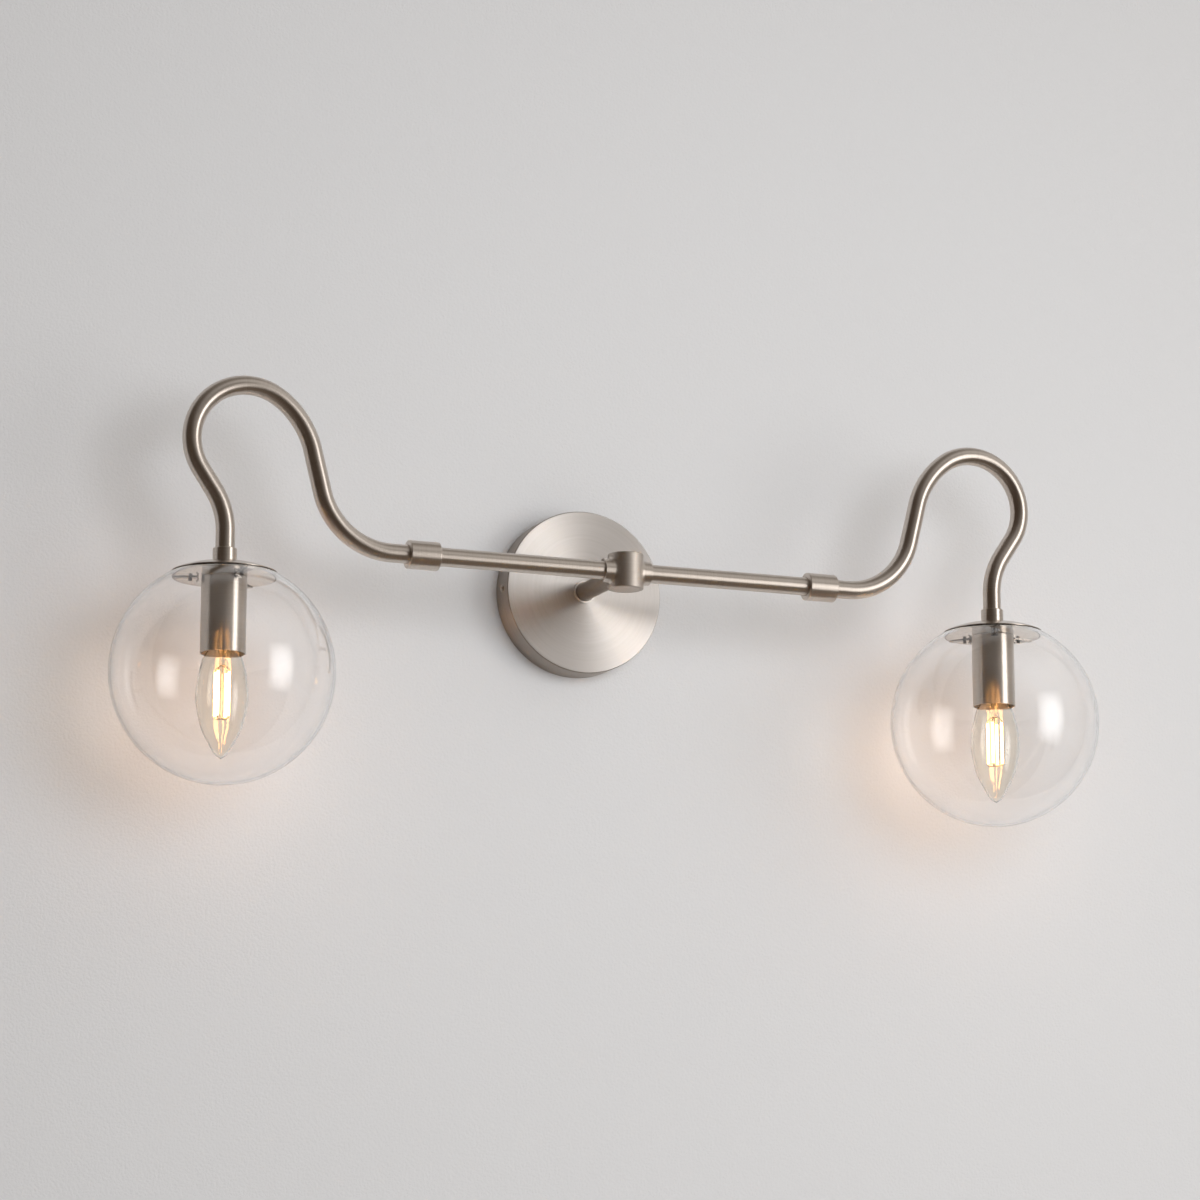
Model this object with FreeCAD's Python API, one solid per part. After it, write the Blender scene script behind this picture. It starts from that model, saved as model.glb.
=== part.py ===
import FreeCAD, Part
import math
import os

# Double arm wall sconce: one round wall canopy, a horizontal bar with two swan-neck arms,
# and a clear glass globe with a candle bulb under each arm.
#
# Millimetres. +Z is up, +X is to the right along the wall, the wall is the plane Y = 0 and the
# lamp stands out towards -Y. The origin is the centre of the canopy's back, on the wall.

V = FreeCAD.Vector
UP, DOWN = V(0, 0, 1), V(0, 0, -1)
TO_WALL, TO_ROOM = V(0, 1, 0), V(0, -1, 0)
SIDES = {"left": -1, "right": 1}
quarter_deg = 90

# ---- Fits ----
running_gap = 0.05        # radial, between a tube or screw and the bore that takes it
hole_gap = 0.15           # radial, round a threaded rod in a plain hole
glass_gap = 0.4           # between metal and glass

# ---- Canopy and what fixes it ----
canopy_radius = 59.0
canopy_depth = 22.6
canopy_wall = 1.0
canopy_edge = 1.0         # rounding where the rim turns into the face
side_screw_y = 12.7       # distance of the side screws from the wall
side_screw_radius = 1.5
side_head_radius = 2.6
side_head_height = 1.9
side_nut_radius = 4.0
side_nut_height = 3.2
screw_tip_gap = 0.1       # between a side screw's tip and the plate's ear
slot_width = 0.7          # screwdriver slots
slot_depth = 0.8

# ---- Mounting plate ----
plate_thick = 2.0
plate_width = 18.0
plate_bend = 2.0          # inside radius of the bent ears
ear_height = 18.5
ear_x = 51.5              # outer face of an ear
slot_spacing = 70.0       # between the two fixing slots
slot_length = 14.0
slot_radius = 2.2
wire_hole_radius = 9.0
earth_screw_x = -18.0
earth_shank_radius = 2.0
earth_head_radius = 3.8
earth_head_height = 2.4

# ---- Tube stock and threaded rod ----
tube_radius = 6.5
tube_bore = 5.05
rod_radius = 5.0
rod_bore = 3.75
nut_flats = 14.0
nut_height = 4.5
lock_nut_height = 3.5
washer_radius = 10.0
washer_thick = 1.2

# ---- Stem and hub ----
bar_reach = 100.0         # from the wall to the axis of the bar
stem_ring_radius = 8.2
stem_ring_thick = 1.3
stem_ring_edge = 0.45
rod_into_tube = 12.0      # how far the threaded rod enters the stem
rod_behind_nut = 2.0
hub_radius = 12.5
hub_height = 25.0
hub_edge = 0.9
boss_radius = 8.5
boss_reach = 17.5
boss_edge = 0.7
tube_seat = 6.5           # depth of a tube's seat in a boss
hub_chamber_radius = 9.5
hub_roof = 4.0
hub_plug_thick = 3.0

# ---- Couplings ----
coupling_x = 149.5        # middle of a coupling
coupling_radius = 9.9
coupling_length = 22.0
coupling_edge = 0.9
coupling_stop = 2.0       # width of the ring inside that both tubes butt on

# ---- Swan neck: centreline from the coupling outwards, in the plane of the bar ----
neck_lead_in = 22.6       # straight, from the middle of the coupling
neck_rise_angle_deg = 75.8
neck_rise_radius = 51.0
neck_rise_run = 28.7
neck_shoulder_angle_deg = 40.8
neck_shoulder_radius = 59.2
neck_crown_angle_deg = 159.0
neck_crown_radius = 38.6
neck_fall_run = 16.4
neck_foot_radius = 50.2
neck_drop_run = 18.0      # straight, down into the collar

# ---- Collar, cap and the stack under it ----
collar_radius = 8.1
collar_length = 9.4
collar_floor = 3.0
collar_edge = 0.5
cap_radius = 35.5
cap_flat_radius = 9.0
cap_rise = 7.4
cap_thick = 1.2
spacer_radius = 7.0
spacer_height = 7.8
holder_plate_thick = 1.0
clip_count = 3
left_clip_angle_deg = -75.6    # direction of the first clip, seen from above
right_clip_angle_deg = -113.7
clip_thick = 0.6
clip_width = 5.0
clip_hook_radius = 1.6    # outside of the hooked inner end
clip_hook_at = 18.6       # middle of the hook, from the axis
clip_screw_at = 22.7
clip_screw_radius = 1.25
clip_screw_tail = 2.0     # below the clip
clip_head_radius = 2.4
clip_head_height = 1.4

# ---- Globe ----
globe_radius = 75.0
globe_wall = 2.0
mouth_inset = 0.8         # the mouth's edge, inside the cap's rim
globe_mouth_radius = cap_radius - mouth_inset

# ---- Socket cover and lampholder ----
cover_radius = 15.25
cover_wall = 0.8
cover_top = 1.0
cover_length = 51.7
holder_radius = 13.2
holder_gap = 0.2          # between the lock nut and the lampholder
holder_length = 40.0
holder_roof = 15.0
holder_edge = 1.5
lead_chamber_radius = 3.2
shell_radius = 7.7        # threaded contact shell of the lampholder
shell_bore = 7.2
shell_clearance = 0.6     # between the contact shell and the bulb's glass
contact_width = 4.0
contact_thick = 0.5
contact_drop = 3.4
contact_gap = 0.2
contact_foot_gap = 0.4     # between the lead chamber and the contact's foot
contact_side_gap = 1.0     # between the contact's foot and the shell's bore

# ---- Candle bulb, heights counted up from its tip ----
bulb_wall = 0.9
bulb_max_radius = 17.5
bulb_max_height = 43.2
bulb_flank_ratios = [(0.23, 0.06), (0.46, 0.21), (0.78, 0.47), (0.965, 0.79)]
bulb_shoulder_ratios = [(0.94, 0.30), (0.79, 0.61), (0.67, 0.74), (0.42, 0.94)]
bulb_neck_radius = 6.3
bulb_neck_height = 79.0
bulb_neck_in_cap = 3.0
cap_shell_radius = 6.8
cap_shell_wall = 0.4
cap_seat = 0.1            # between the glass and the cap's lower edge
cap_shell_length = 15.2
cap_skirt_radius = 7.05
cap_skirt_length = 3.0
cap_skirt_edge = 0.5       # height of the slope from the skirt to the shell
cap_shell_edge = 1.0       # slope at the top of the shell
insulator_height = 2.6
insulator_tip_radius = 3.6
pip_radius = 2.4
pip_tip_radius = 1.7
pip_height = 1.1
filament_count = 4
filament_radius = 0.9
filament_length = 29.5
filament_hang = 3.7       # below the glass mount
filament_circle = 5.2
support_radius = 0.35
support_stud_radius = 1.3
support_stud_height = 0.8
flare_radius = 5.0
flare_height = 4.0
mount_radius = 2.2
mount_length = 17.5

# ---- Leads and terminal block ----
lead_radius = 1.7
lead_offset = 1.8         # each lead beside the stem's axis
lead_bend = 5.0
lead_hub_bend = 6.0
lead_y = 7.0              # distance from the wall where the leads rise from the block
lead_end = 3.0            # below the threaded rod, inside the lampholder
block_width = 24.0
block_height = 15.0
block_front = 4.6         # distance of the block's face from the wall
block_top = 15.0          # below the stem's axis
block_ways = 3
block_pitch = 7.2
block_hole_radius = 1.9
block_hole_depth = 9.0
block_edge = 1.0


# ======== Shape helpers ========

def rod(radius, length, base, axis):
    """A solid cylinder."""
    return Part.makeCylinder(radius, length, base, axis)


def ring(radius, bore, length, base, axis):
    """A hollow cylinder."""
    inner = Part.makeCylinder(bore, length, base, axis)
    return Part.makeCylinder(radius, length, base, axis).cut(inner)


def circle_edges(shape, radius, base, axis):
    """The edges of a shape that are circles of this radius, centred on the plane through base."""
    found = []
    for edge in shape.Edges:
        curve = edge.Curve
        if isinstance(curve, Part.Circle) and abs(curve.Radius - radius) < 1e-6:
            if abs((curve.Center - base).dot(axis)) < 1e-6:
                found.append(edge)
    return found


def ease(shape, size, radius, base, axis):
    """Chamfers a turned piece's circular edge."""
    return shape.makeChamfer(size, circle_edges(shape, radius, base, axis))


def turned(edges, centre):
    """A solid turned about the vertical line through centre, from edges in the (r, z) plane."""
    face = Part.Face(Part.Wire(edges))
    face.translate(centre)
    return face.revolve(centre, UP, 360)


def line(a, b):
    """A straight profile edge between two (r, z) points."""
    return Part.makeLine(V(a[0], 0, a[1]), V(b[0], 0, b[1]))


def lines(*points):
    """Straight profile edges through (r, z) points."""
    return [line(a, b) for a, b in zip(points, points[1:])]


def arc(a, middle, b):
    """A profile arc through three (r, z) points."""
    return Part.Arc(*[V(p[0], 0, p[1]) for p in (a, middle, b)]).toShape()


def axis_arc(radius, r_a, r_b, centre_z, sign):
    """A profile arc of this radius, centred on the axis, above (1) or below (-1) its centre."""
    def at(r):
        return (r, centre_z + sign * math.sqrt(max(radius ** 2 - r ** 2, 0.0)))
    return arc(at(r_a), at((r_a + r_b) / 2), at(r_b))


def hex_prism(flats, height, base, axis):
    """A hexagonal prism across the given flats."""
    corner = flats / math.sqrt(3)
    side = axis.cross(UP) if abs(axis.z) < 0.5 else V(1, 0, 0)
    points = []
    for k in range(7):
        turn = FreeCAD.Rotation(axis, 60 * k)
        points.append(base + turn.multVec(side) * corner)
    return Part.Face(Part.makePolygon(points)).extrude(axis * height)


def hex_nut(height, bore, base, axis):
    """A hexagonal nut whose corners are turned off on the outer side."""
    corner = nut_flats / math.sqrt(3)
    cone = Part.makeCone(corner + height, nut_flats / 2, height * 1.5 + corner, base, axis)
    return hex_prism(nut_flats, height, base, axis).common(cone).cut(rod(bore, height, base, axis))


def screw(radius, length, head_radius, head_height, base, axis):
    """A round-headed slotted screw: base is under the head and the shank runs along axis."""
    dome_radius = (head_radius ** 2 + head_height ** 2) / (2 * head_height)
    crown = base - axis * head_height
    head = Part.makeSphere(dome_radius, crown + axis * dome_radius)
    head = head.common(rod(head_radius, head_height, crown, axis))
    across = axis.cross(UP) if abs(axis.z) < 0.5 else V(1, 0, 0)
    beside = axis.cross(across)
    corner = crown - across * head_radius - beside * (slot_width / 2)
    cutter = Part.Face(Part.makePolygon([
        corner, corner + across * 2 * head_radius,
        corner + across * 2 * head_radius + beside * slot_width,
        corner + beside * slot_width, corner])).extrude(axis * slot_depth)
    return head.fuse(rod(radius, length, base, axis)).removeSplitter().cut(cutter)


def walk_tube(start, heading, steps, radius, bore):
    """A tube along straight runs ("run", length) and bends ("bend", radius, degrees, axis)."""
    at, along = V(start), V(heading)
    pieces, length = [], 0.0
    for step in steps:
        section = Part.Face(Part.Wire(Part.makeCircle(radius, at, along)))
        if bore:
            section = section.cut(Part.Face(Part.Wire(Part.makeCircle(bore, at, along)))).Faces[0]
        if step[0] == "run":
            pieces.append(section.extrude(along * step[1]))
            at = at + along * step[1]
            length += step[1]
            continue
        bend_radius, degrees, axis = step[1:]
        centre = at + axis.cross(along) * bend_radius
        pieces.append(section.revolve(centre, axis, degrees))
        turn = FreeCAD.Rotation(axis, degrees)
        at = centre + turn.multVec(at - centre)
        along = turn.multVec(along)
        length += bend_radius * math.radians(degrees)
    whole = pieces[0].multiFuse(pieces[1:]).removeSplitter()
    expected = math.pi * (radius ** 2 - bore ** 2) * length
    print("tube", round(length, 1), "mm, volume against section times length:",
          round(whole.Volume / expected, 5))
    return whole, at


# ======== Places worked out from the sizes above ========

def neck_steps(side):
    """The swan neck's bends, for the side of the lamp that it is on."""
    up, down = V(0, -side, 0), V(0, side, 0)
    foot_turn = neck_shoulder_angle_deg + neck_crown_angle_deg - neck_rise_angle_deg - quarter_deg
    return [
        ("bend", neck_rise_radius, neck_rise_angle_deg, up),
        ("run", neck_rise_run),
        ("bend", neck_shoulder_radius, neck_shoulder_angle_deg, down),
        ("bend", neck_crown_radius, neck_crown_angle_deg, down),
        ("run", neck_fall_run),
        ("bend", neck_foot_radius, foot_turn, up),
    ]


def neck_foot():
    """Where the right neck's last bend ends, which sets each globe's axis: (x, z)."""
    x, z, heading = coupling_x + neck_lead_in, 0.0, 0.0
    for step in neck_steps(1):
        if step[0] == "run":
            x += step[1] * math.cos(heading)
            z += step[1] * math.sin(heading)
            continue
        sign = -1 if step[3].y > 0 else 1
        turn = sign * math.radians(step[2])
        x += step[1] * sign * (math.sin(heading + turn) - math.sin(heading))
        z -= step[1] * sign * (math.cos(heading + turn) - math.cos(heading))
        heading += turn
    return x, z


globe_x, foot_z = neck_foot()
tube_end_z = foot_z - neck_drop_run
collar_low_z = tube_end_z - collar_floor
cap_under_z = collar_low_z - cap_thick
rim_low_z = collar_low_z - cap_rise
holder_plate_top_z = cap_under_z - spacer_height
cover_top_z = holder_plate_top_z - holder_plate_thick
cover_low_z = cover_top_z - cover_length
lock_nut_z = cover_top_z - cover_top
holder_top_z = lock_nut_z - lock_nut_height - holder_gap
holder_low_z = holder_top_z - holder_length
rod_top_z = tube_end_z + rod_into_tube - collar_floor
rod_low_z = holder_top_z - holder_roof / 2
bulb_top_z = holder_top_z - holder_roof - contact_drop - contact_thick - contact_gap
cap_low_height = bulb_neck_height + cap_seat
cap_top_height = cap_low_height + cap_shell_length
bulb_length = cap_top_height + insulator_height + pip_height
bulb_tip_z = bulb_top_z - bulb_length
mount_low = bulb_neck_height - mount_length
filament_top = mount_low - filament_hang
filament_low = filament_top - filament_length
globe_z = rim_low_z - glass_gap - math.sqrt(globe_radius ** 2 - cap_radius ** 2)
canopy_face_y = -canopy_depth
canopy_inner_y = -(canopy_depth - canopy_wall)
hub_centre = V(0, -bar_reach, 0)


def globe_axis(side, z):
    """The point at height z on the vertical axis of one side's globe."""
    return V(side * globe_x, -bar_reach, z)


# ======== Wall side ========

def mounting_plate():
    """A bent strap with two ears, two fixing slots, a wire hole and a tapped earth hole."""
    outer, inner = ear_x, ear_x - plate_thick
    big, small = plate_bend + plate_thick, plate_bend
    half = math.sqrt(0.5)

    def bend(sign, radius):
        centre = V(sign * (outer - big), -big, 0)
        ends = [centre + V(0, radius, 0), centre + V(sign * half * radius, half * radius, 0),
                centre + V(sign * radius, 0, 0)]
        return ends if sign > 0 else ends[::-1]

    right, left = bend(1, big), bend(-1, big)
    right_in, left_in = bend(1, small)[::-1], bend(-1, small)[::-1]
    tip_r, tip_ri = V(outer, -ear_height, 0), V(inner, -ear_height, 0)
    tip_l, tip_li = V(-outer, -ear_height, 0), V(-inner, -ear_height, 0)
    edges = [
        Part.Arc(*right).toShape(), Part.makeLine(right[2], tip_r), Part.makeLine(tip_r, tip_ri),
        Part.makeLine(tip_ri, right_in[0]), Part.Arc(*right_in).toShape(),
        Part.makeLine(right_in[2], left_in[0]), Part.Arc(*left_in).toShape(),
        Part.makeLine(left_in[2], tip_li), Part.makeLine(tip_li, tip_l),
        Part.makeLine(tip_l, left[0]), Part.Arc(*left).toShape(), Part.makeLine(left[2], right[0]),
    ]
    face = Part.Face(Part.Wire(Part.__sortEdges__(edges)))
    face.translate(DOWN * (plate_width / 2))
    plate = face.extrude(UP * plate_width)
    plate = plate.cut(rod(wire_hole_radius, plate_thick, V(0, 0, 0), TO_ROOM))
    straight = slot_length / 2 - slot_radius
    for sign in (-1, 1):
        middle = sign * slot_spacing / 2
        slot = Part.makeBox(2 * straight, plate_thick, 2 * slot_radius,
                            V(middle - straight, -plate_thick, -slot_radius))
        for end in (-1, 1):
            slot = slot.fuse(rod(slot_radius, plate_thick, V(middle + end * straight, 0, 0), TO_ROOM))
        plate = plate.cut(slot)
    tapped = rod(earth_shank_radius, plate_thick, V(earth_screw_x, 0, 0), TO_ROOM)
    return plate.cut(tapped)


def earth_screw():
    """The earth screw in the plate, flush with its back."""
    base = V(earth_screw_x, -plate_thick, 0)
    return screw(earth_shank_radius, plate_thick, earth_head_radius, earth_head_height, base, TO_WALL)


def canopy():
    """A pressed round cup, open to the wall, with a rod hole and two side screw holes."""
    cup = rod(canopy_radius, canopy_depth, V(0, 0, 0), TO_ROOM)
    face_at = V(0, canopy_face_y, 0)
    cup = cup.makeFillet(canopy_edge, circle_edges(cup, canopy_radius, face_at, TO_ROOM))
    inner_radius = canopy_radius - canopy_wall
    cup = cup.cut(rod(inner_radius, canopy_depth - canopy_wall, V(0, 0, 0), TO_ROOM))
    cup = cup.cut(rod(rod_radius + hole_gap, canopy_depth, V(0, 0, 0), TO_ROOM))
    across = rod(side_screw_radius + hole_gap, 2 * canopy_radius,
                 V(-canopy_radius, -side_screw_y, 0), V(1, 0, 0))
    return cup.cut(across)


def side_screw(side):
    """One of the two screws through the canopy's rim, whose tip bears on the plate's ear."""
    out = V(side, 0, 0)
    base = out * canopy_radius + V(0, -side_screw_y, 0)
    length = canopy_radius - ear_x - screw_tip_gap
    return screw(side_screw_radius, length, side_head_radius, side_head_height, base, -out)


def side_nut(side):
    """The round clinch nut inside the rim that a side screw runs in."""
    inner_radius = canopy_radius - canopy_wall
    base = V(side * (inner_radius - side_nut_height), -side_screw_y, 0)
    out = V(side, 0, 0)
    nut = ring(side_nut_radius, side_screw_radius + running_gap, 2 * side_nut_height, base, out)
    return nut.common(rod(inner_radius, canopy_depth, V(0, 0, 0), TO_ROOM))


def pair(make):
    """The left and the right one of a fastener, as one group of two solids."""
    return lambda: Part.makeCompound([make(side).Solids[0] for side in SIDES.values()])


def stem():
    """The tube from the canopy's face to its seat in the hub's rear boss."""
    length = bar_reach - boss_reach + tube_seat - canopy_depth
    return ring(tube_radius, tube_bore, length, V(0, canopy_face_y, 0), TO_ROOM)


def stem_ring():
    """The thin ring at the foot of the stem."""
    base = V(0, canopy_face_y, 0)
    body = ring(stem_ring_radius, tube_radius + running_gap, stem_ring_thick, base, TO_ROOM)
    return ease(body, stem_ring_edge, stem_ring_radius, base + TO_ROOM * stem_ring_thick, TO_ROOM)


def stem_rod():
    """The hollow threaded rod that ties the stem to the canopy."""
    back = canopy_inner_y + washer_thick + nut_height + rod_behind_nut
    length = back - canopy_face_y + rod_into_tube
    return ring(rod_radius, rod_bore, length, V(0, back, 0), TO_ROOM)


def stem_washer():
    """The washer behind the canopy's face."""
    base = V(0, canopy_inner_y, 0)
    return ring(washer_radius, rod_radius + hole_gap, washer_thick, base, TO_WALL)


def stem_nut():
    """The nut behind the canopy's face."""
    return hex_nut(nut_height, rod_radius, V(0, canopy_inner_y + washer_thick, 0), TO_WALL)


def terminal_block():
    """The insulated block inside the canopy that the leads rise from, with three tapped ways."""
    depth = canopy_depth - canopy_wall - block_front
    corner = V(-block_width / 2, canopy_inner_y, -block_top - block_height)
    block = Part.makeBox(block_width, depth, block_height, corner)
    block = block.makeChamfer(block_edge, [e for e in block.Edges
                                           if abs(e.tangentAt(e.FirstParameter).z) > 0.9])
    for k in range(block_ways):
        x = (k - (block_ways - 1) / 2) * block_pitch
        low = V(x, -lead_y, -block_top - block_height)
        block = block.cut(rod(block_hole_radius, block_hole_depth, low, UP))
    return block


# ======== Bar ========

def hub():
    """The upright barrel with bosses left, right and behind, hollow for the leads."""
    low = hub_centre + DOWN * (hub_height / 2)
    body = rod(hub_radius, hub_height, low, UP)
    for base in (low, low + UP * hub_height):
        body = ease(body, hub_edge, hub_radius, base, UP)
    for out in (V(-1, 0, 0), V(1, 0, 0), TO_WALL):
        boss = rod(boss_radius, boss_reach, hub_centre, out)
        body = body.fuse(ease(boss, boss_edge, boss_radius, hub_centre + out * boss_reach, out))
    chamber_height = hub_height - hub_roof
    body = body.cut(rod(hub_chamber_radius, chamber_height, low, UP))
    for out in (V(-1, 0, 0), V(1, 0, 0), TO_WALL):
        body = body.cut(rod(tube_bore, boss_reach, hub_centre, out))
        seat = hub_centre + out * (boss_reach - tube_seat)
        body = body.cut(rod(tube_radius + running_gap, tube_seat, seat, out))
    return body


def hub_plug():
    """The disc that closes the wiring chamber, flush with the hub's underside."""
    low = hub_centre + DOWN * (hub_height / 2)
    return rod(hub_chamber_radius - running_gap, hub_plug_thick, low, UP)


def bar_tube(side):
    """The straight tube from the hub to the stop inside the coupling."""
    start = boss_reach - tube_seat
    length = coupling_x - coupling_stop / 2 - start
    out = V(side, 0, 0)
    return ring(tube_radius, tube_bore, length, hub_centre + out * start, out)


def coupling(side):
    """The sleeve that joins the straight tube to the swan neck, with a stop ring inside."""
    out = V(side, 0, 0)
    start = hub_centre + out * (coupling_x - coupling_length / 2)
    body = rod(coupling_radius, coupling_length, start, out)
    for base in (start, start + out * coupling_length):
        body = ease(body, coupling_edge, coupling_radius, base, out)
    body = body.cut(rod(tube_bore, coupling_length, start, out))
    seat = (coupling_length - coupling_stop) / 2
    for base in (start, start + out * (seat + coupling_stop)):
        body = body.cut(rod(tube_radius + running_gap, seat, base, out))
    return body


def swan_neck(side):
    """The bent tube from the coupling, up over the crown and down into the collar."""
    out = V(side, 0, 0)
    start = hub_centre + out * (coupling_x + coupling_stop / 2)
    steps = [("run", neck_lead_in - coupling_stop / 2)] + neck_steps(side) + [("run", neck_drop_run)]
    tube, end = walk_tube(start, out, steps, tube_radius, tube_bore)
    print("neck ends at", [round(v, 3) for v in end], "globe axis x", round(globe_x, 3),
          "globe centre z", round(globe_z, 3), "bulb tip z", round(bulb_tip_z, 3))
    return tube


# ======== Stack under the neck ========

def collar(side):
    """The collar round the neck's end, with a floor that the threaded rod passes."""
    low = globe_axis(side, collar_low_z)
    top = low + UP * collar_length
    body = ease(rod(collar_radius, collar_length, low, UP), collar_edge, collar_radius, top, UP)
    body = body.cut(rod(rod_radius + hole_gap, collar_length, low, UP))
    return body.cut(rod(tube_radius + running_gap, collar_length, low + UP * collar_floor, UP))


def cap(side):
    """The shallow dome over the globe's mouth, flat where the collar sits on it."""
    rim_top = cap_rise - cap_thick
    dome = (cap_radius ** 2 - cap_flat_radius ** 2 + rim_top ** 2) / (2 * rim_top)
    outer = math.sqrt(dome ** 2 + cap_flat_radius ** 2)
    inner = outer - cap_thick
    hole = rod_radius + hole_gap
    centre_low = -dome
    inner_flat = math.sqrt(inner ** 2 - (dome - cap_thick) ** 2)
    lip_z = centre_low + math.sqrt(inner ** 2 - (cap_radius - cap_thick / 2) ** 2)
    edges = [
        axis_arc(outer, cap_flat_radius, cap_radius, centre_low, 1),
        line((cap_radius, -rim_top), (cap_radius, -cap_rise)),
        line((cap_radius, -cap_rise), (cap_radius - cap_thick / 2, lip_z)),
        axis_arc(inner, cap_radius - cap_thick / 2, inner_flat, centre_low, 1),
    ]
    edges += lines((inner_flat, -cap_thick), (hole, -cap_thick), (hole, 0), (cap_flat_radius, 0))
    return turned(edges, globe_axis(side, collar_low_z))


def spacer(side):
    """The short sleeve between the cap and the holder plate."""
    base = globe_axis(side, holder_plate_top_z)
    return ring(spacer_radius, rod_radius + hole_gap, spacer_height, base, UP)


def clip_turns(side):
    """The directions of one side's clips, seen from above."""
    first = left_clip_angle_deg if side < 0 else right_clip_angle_deg
    return [first + 360 * k / clip_count for k in range(clip_count)]


def holder_plate(side):
    """The flat disc just inside the globe's mouth that carries the three clips."""
    centre = globe_axis(side, cover_top_z)
    plate = rod(globe_mouth_radius - glass_gap, holder_plate_thick, centre, UP)
    plate = plate.cut(rod(rod_radius + hole_gap, holder_plate_thick, centre, UP))
    for turn in clip_turns(side):
        at = centre + FreeCAD.Rotation(UP, turn).multVec(V(clip_screw_at, 0, 0))
        plate = plate.cut(rod(clip_screw_radius + running_gap, holder_plate_thick, at, UP))
    return plate


def clips(side):
    """Three spring strips under the plate, out to the glass, each hooked down at its inner end."""
    centre = globe_axis(side, cover_top_z)
    reach = globe_mouth_radius - glass_gap
    strips = []
    for turn in clip_turns(side):
        strip = Part.makeBox(reach - clip_hook_at, clip_width, clip_thick,
                             centre + V(clip_hook_at, -clip_width / 2, -clip_thick))
        pin = centre + V(clip_hook_at, -clip_width / 2, -clip_hook_radius)
        hook = ring(clip_hook_radius, clip_hook_radius - clip_thick, clip_width, pin, V(0, 1, 0))
        inward = Part.makeBox(clip_hook_radius, clip_width, 2 * clip_hook_radius,
                              pin + V(-clip_hook_radius, 0, -clip_hook_radius))
        strip = strip.fuse(hook.common(inward)).removeSplitter()
        strip.rotate(centre, UP, turn)
        strip = strip.common(rod(reach, 4 * clip_hook_radius, centre, DOWN))
        at = centre + FreeCAD.Rotation(UP, turn).multVec(V(clip_screw_at, 0, 0))
        strips.append(strip.cut(rod(clip_screw_radius + running_gap, clip_thick, at, DOWN)))
    return Part.makeCompound(strips)


def clip_screws(side):
    """Three screws that hold the clips, with their tails hanging below."""
    centre = globe_axis(side, holder_plate_top_z)
    length = holder_plate_thick + clip_thick + clip_screw_tail
    screws = []
    for turn in clip_turns(side):
        at = centre + FreeCAD.Rotation(UP, turn).multVec(V(clip_screw_at, 0, 0))
        screws.append(screw(clip_screw_radius, length, clip_head_radius, clip_head_height, at, DOWN))
    return Part.makeCompound(screws)


def socket_rod(side):
    """The hollow threaded rod that ties neck, collar, cap, plate, cover and lampholder."""
    base = globe_axis(side, rod_low_z)
    return ring(rod_radius, rod_bore, rod_top_z - rod_low_z, base, UP)


def lock_nut(side):
    """The nut inside the socket cover's top."""
    return hex_nut(lock_nut_height, rod_radius, globe_axis(side, lock_nut_z), DOWN)


def socket_cover(side):
    """The satin tube that hides the lampholder, closed at the top and open below."""
    top = globe_axis(side, cover_top_z)
    cover = rod(cover_radius, cover_length, top, DOWN)
    cover = ease(cover, cover_wall / 2, cover_radius, top, DOWN)
    inner = rod(cover_radius - cover_wall, cover_length, top + DOWN * cover_top, DOWN)
    return cover.cut(inner).cut(rod(rod_radius + hole_gap, cover_length, top, DOWN))


def lampholder(side):
    """The insulating body, threaded on the rod above and hollow for the bulb's cap below."""
    top = globe_axis(side, holder_top_z)
    low = top + DOWN * holder_length
    body = rod(holder_radius, holder_length, top, DOWN)
    body = ease(body, holder_edge, holder_radius, top, DOWN)
    body = body.cut(rod(rod_radius, holder_roof / 2, top, DOWN))
    body = body.cut(rod(lead_chamber_radius, holder_length, top, DOWN))
    cavity = holder_length - holder_roof
    body = body.cut(rod(shell_radius + running_gap, cavity, low, UP))
    return ease(body, holder_edge / 2, shell_radius + running_gap, low, DOWN)


def holder_shell(side):
    """The metal screw shell inside the lampholder."""
    low = globe_axis(side, bulb_tip_z + cap_low_height + shell_clearance)
    return ring(shell_radius, shell_bore, cap_shell_length - shell_clearance, low, UP)


def holder_contact(side):
    """The sprung centre contact at the top of the lampholder's cavity."""
    roof = globe_axis(side, holder_top_z - holder_roof)
    reach = shell_radius - contact_side_gap
    foot = lead_chamber_radius + contact_foot_gap
    bend = contact_foot_gap
    points = [(foot, 0), (reach, 0), (reach, -contact_thick), (foot + bend, -contact_thick),
              (bend, -contact_drop - contact_thick), (-pip_radius, -contact_drop - contact_thick),
              (-pip_radius, -contact_drop), (0, -contact_drop), (foot, 0)]
    strip = Part.Face(Part.Wire(lines(*points))).extrude(V(0, contact_width, 0))
    strip.translate(roof + V(0, -contact_width / 2, 0))
    return strip


# ======== Globe and bulb ========

def globe(side):
    """A clear sphere with a round mouth at the top and a closed bottom."""
    inner = globe_radius - globe_wall
    top_out = (globe_mouth_radius, math.sqrt(globe_radius ** 2 - globe_mouth_radius ** 2))
    top_in = (globe_mouth_radius, math.sqrt(inner ** 2 - globe_mouth_radius ** 2))
    edges = [
        line(top_in, top_out), arc(top_out, (globe_radius, 0), (0, -globe_radius)),
        line((0, -globe_radius), (0, -inner)), arc((0, -inner), (inner, 0), top_in),
    ]
    return turned(edges, globe_axis(side, globe_z))


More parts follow.
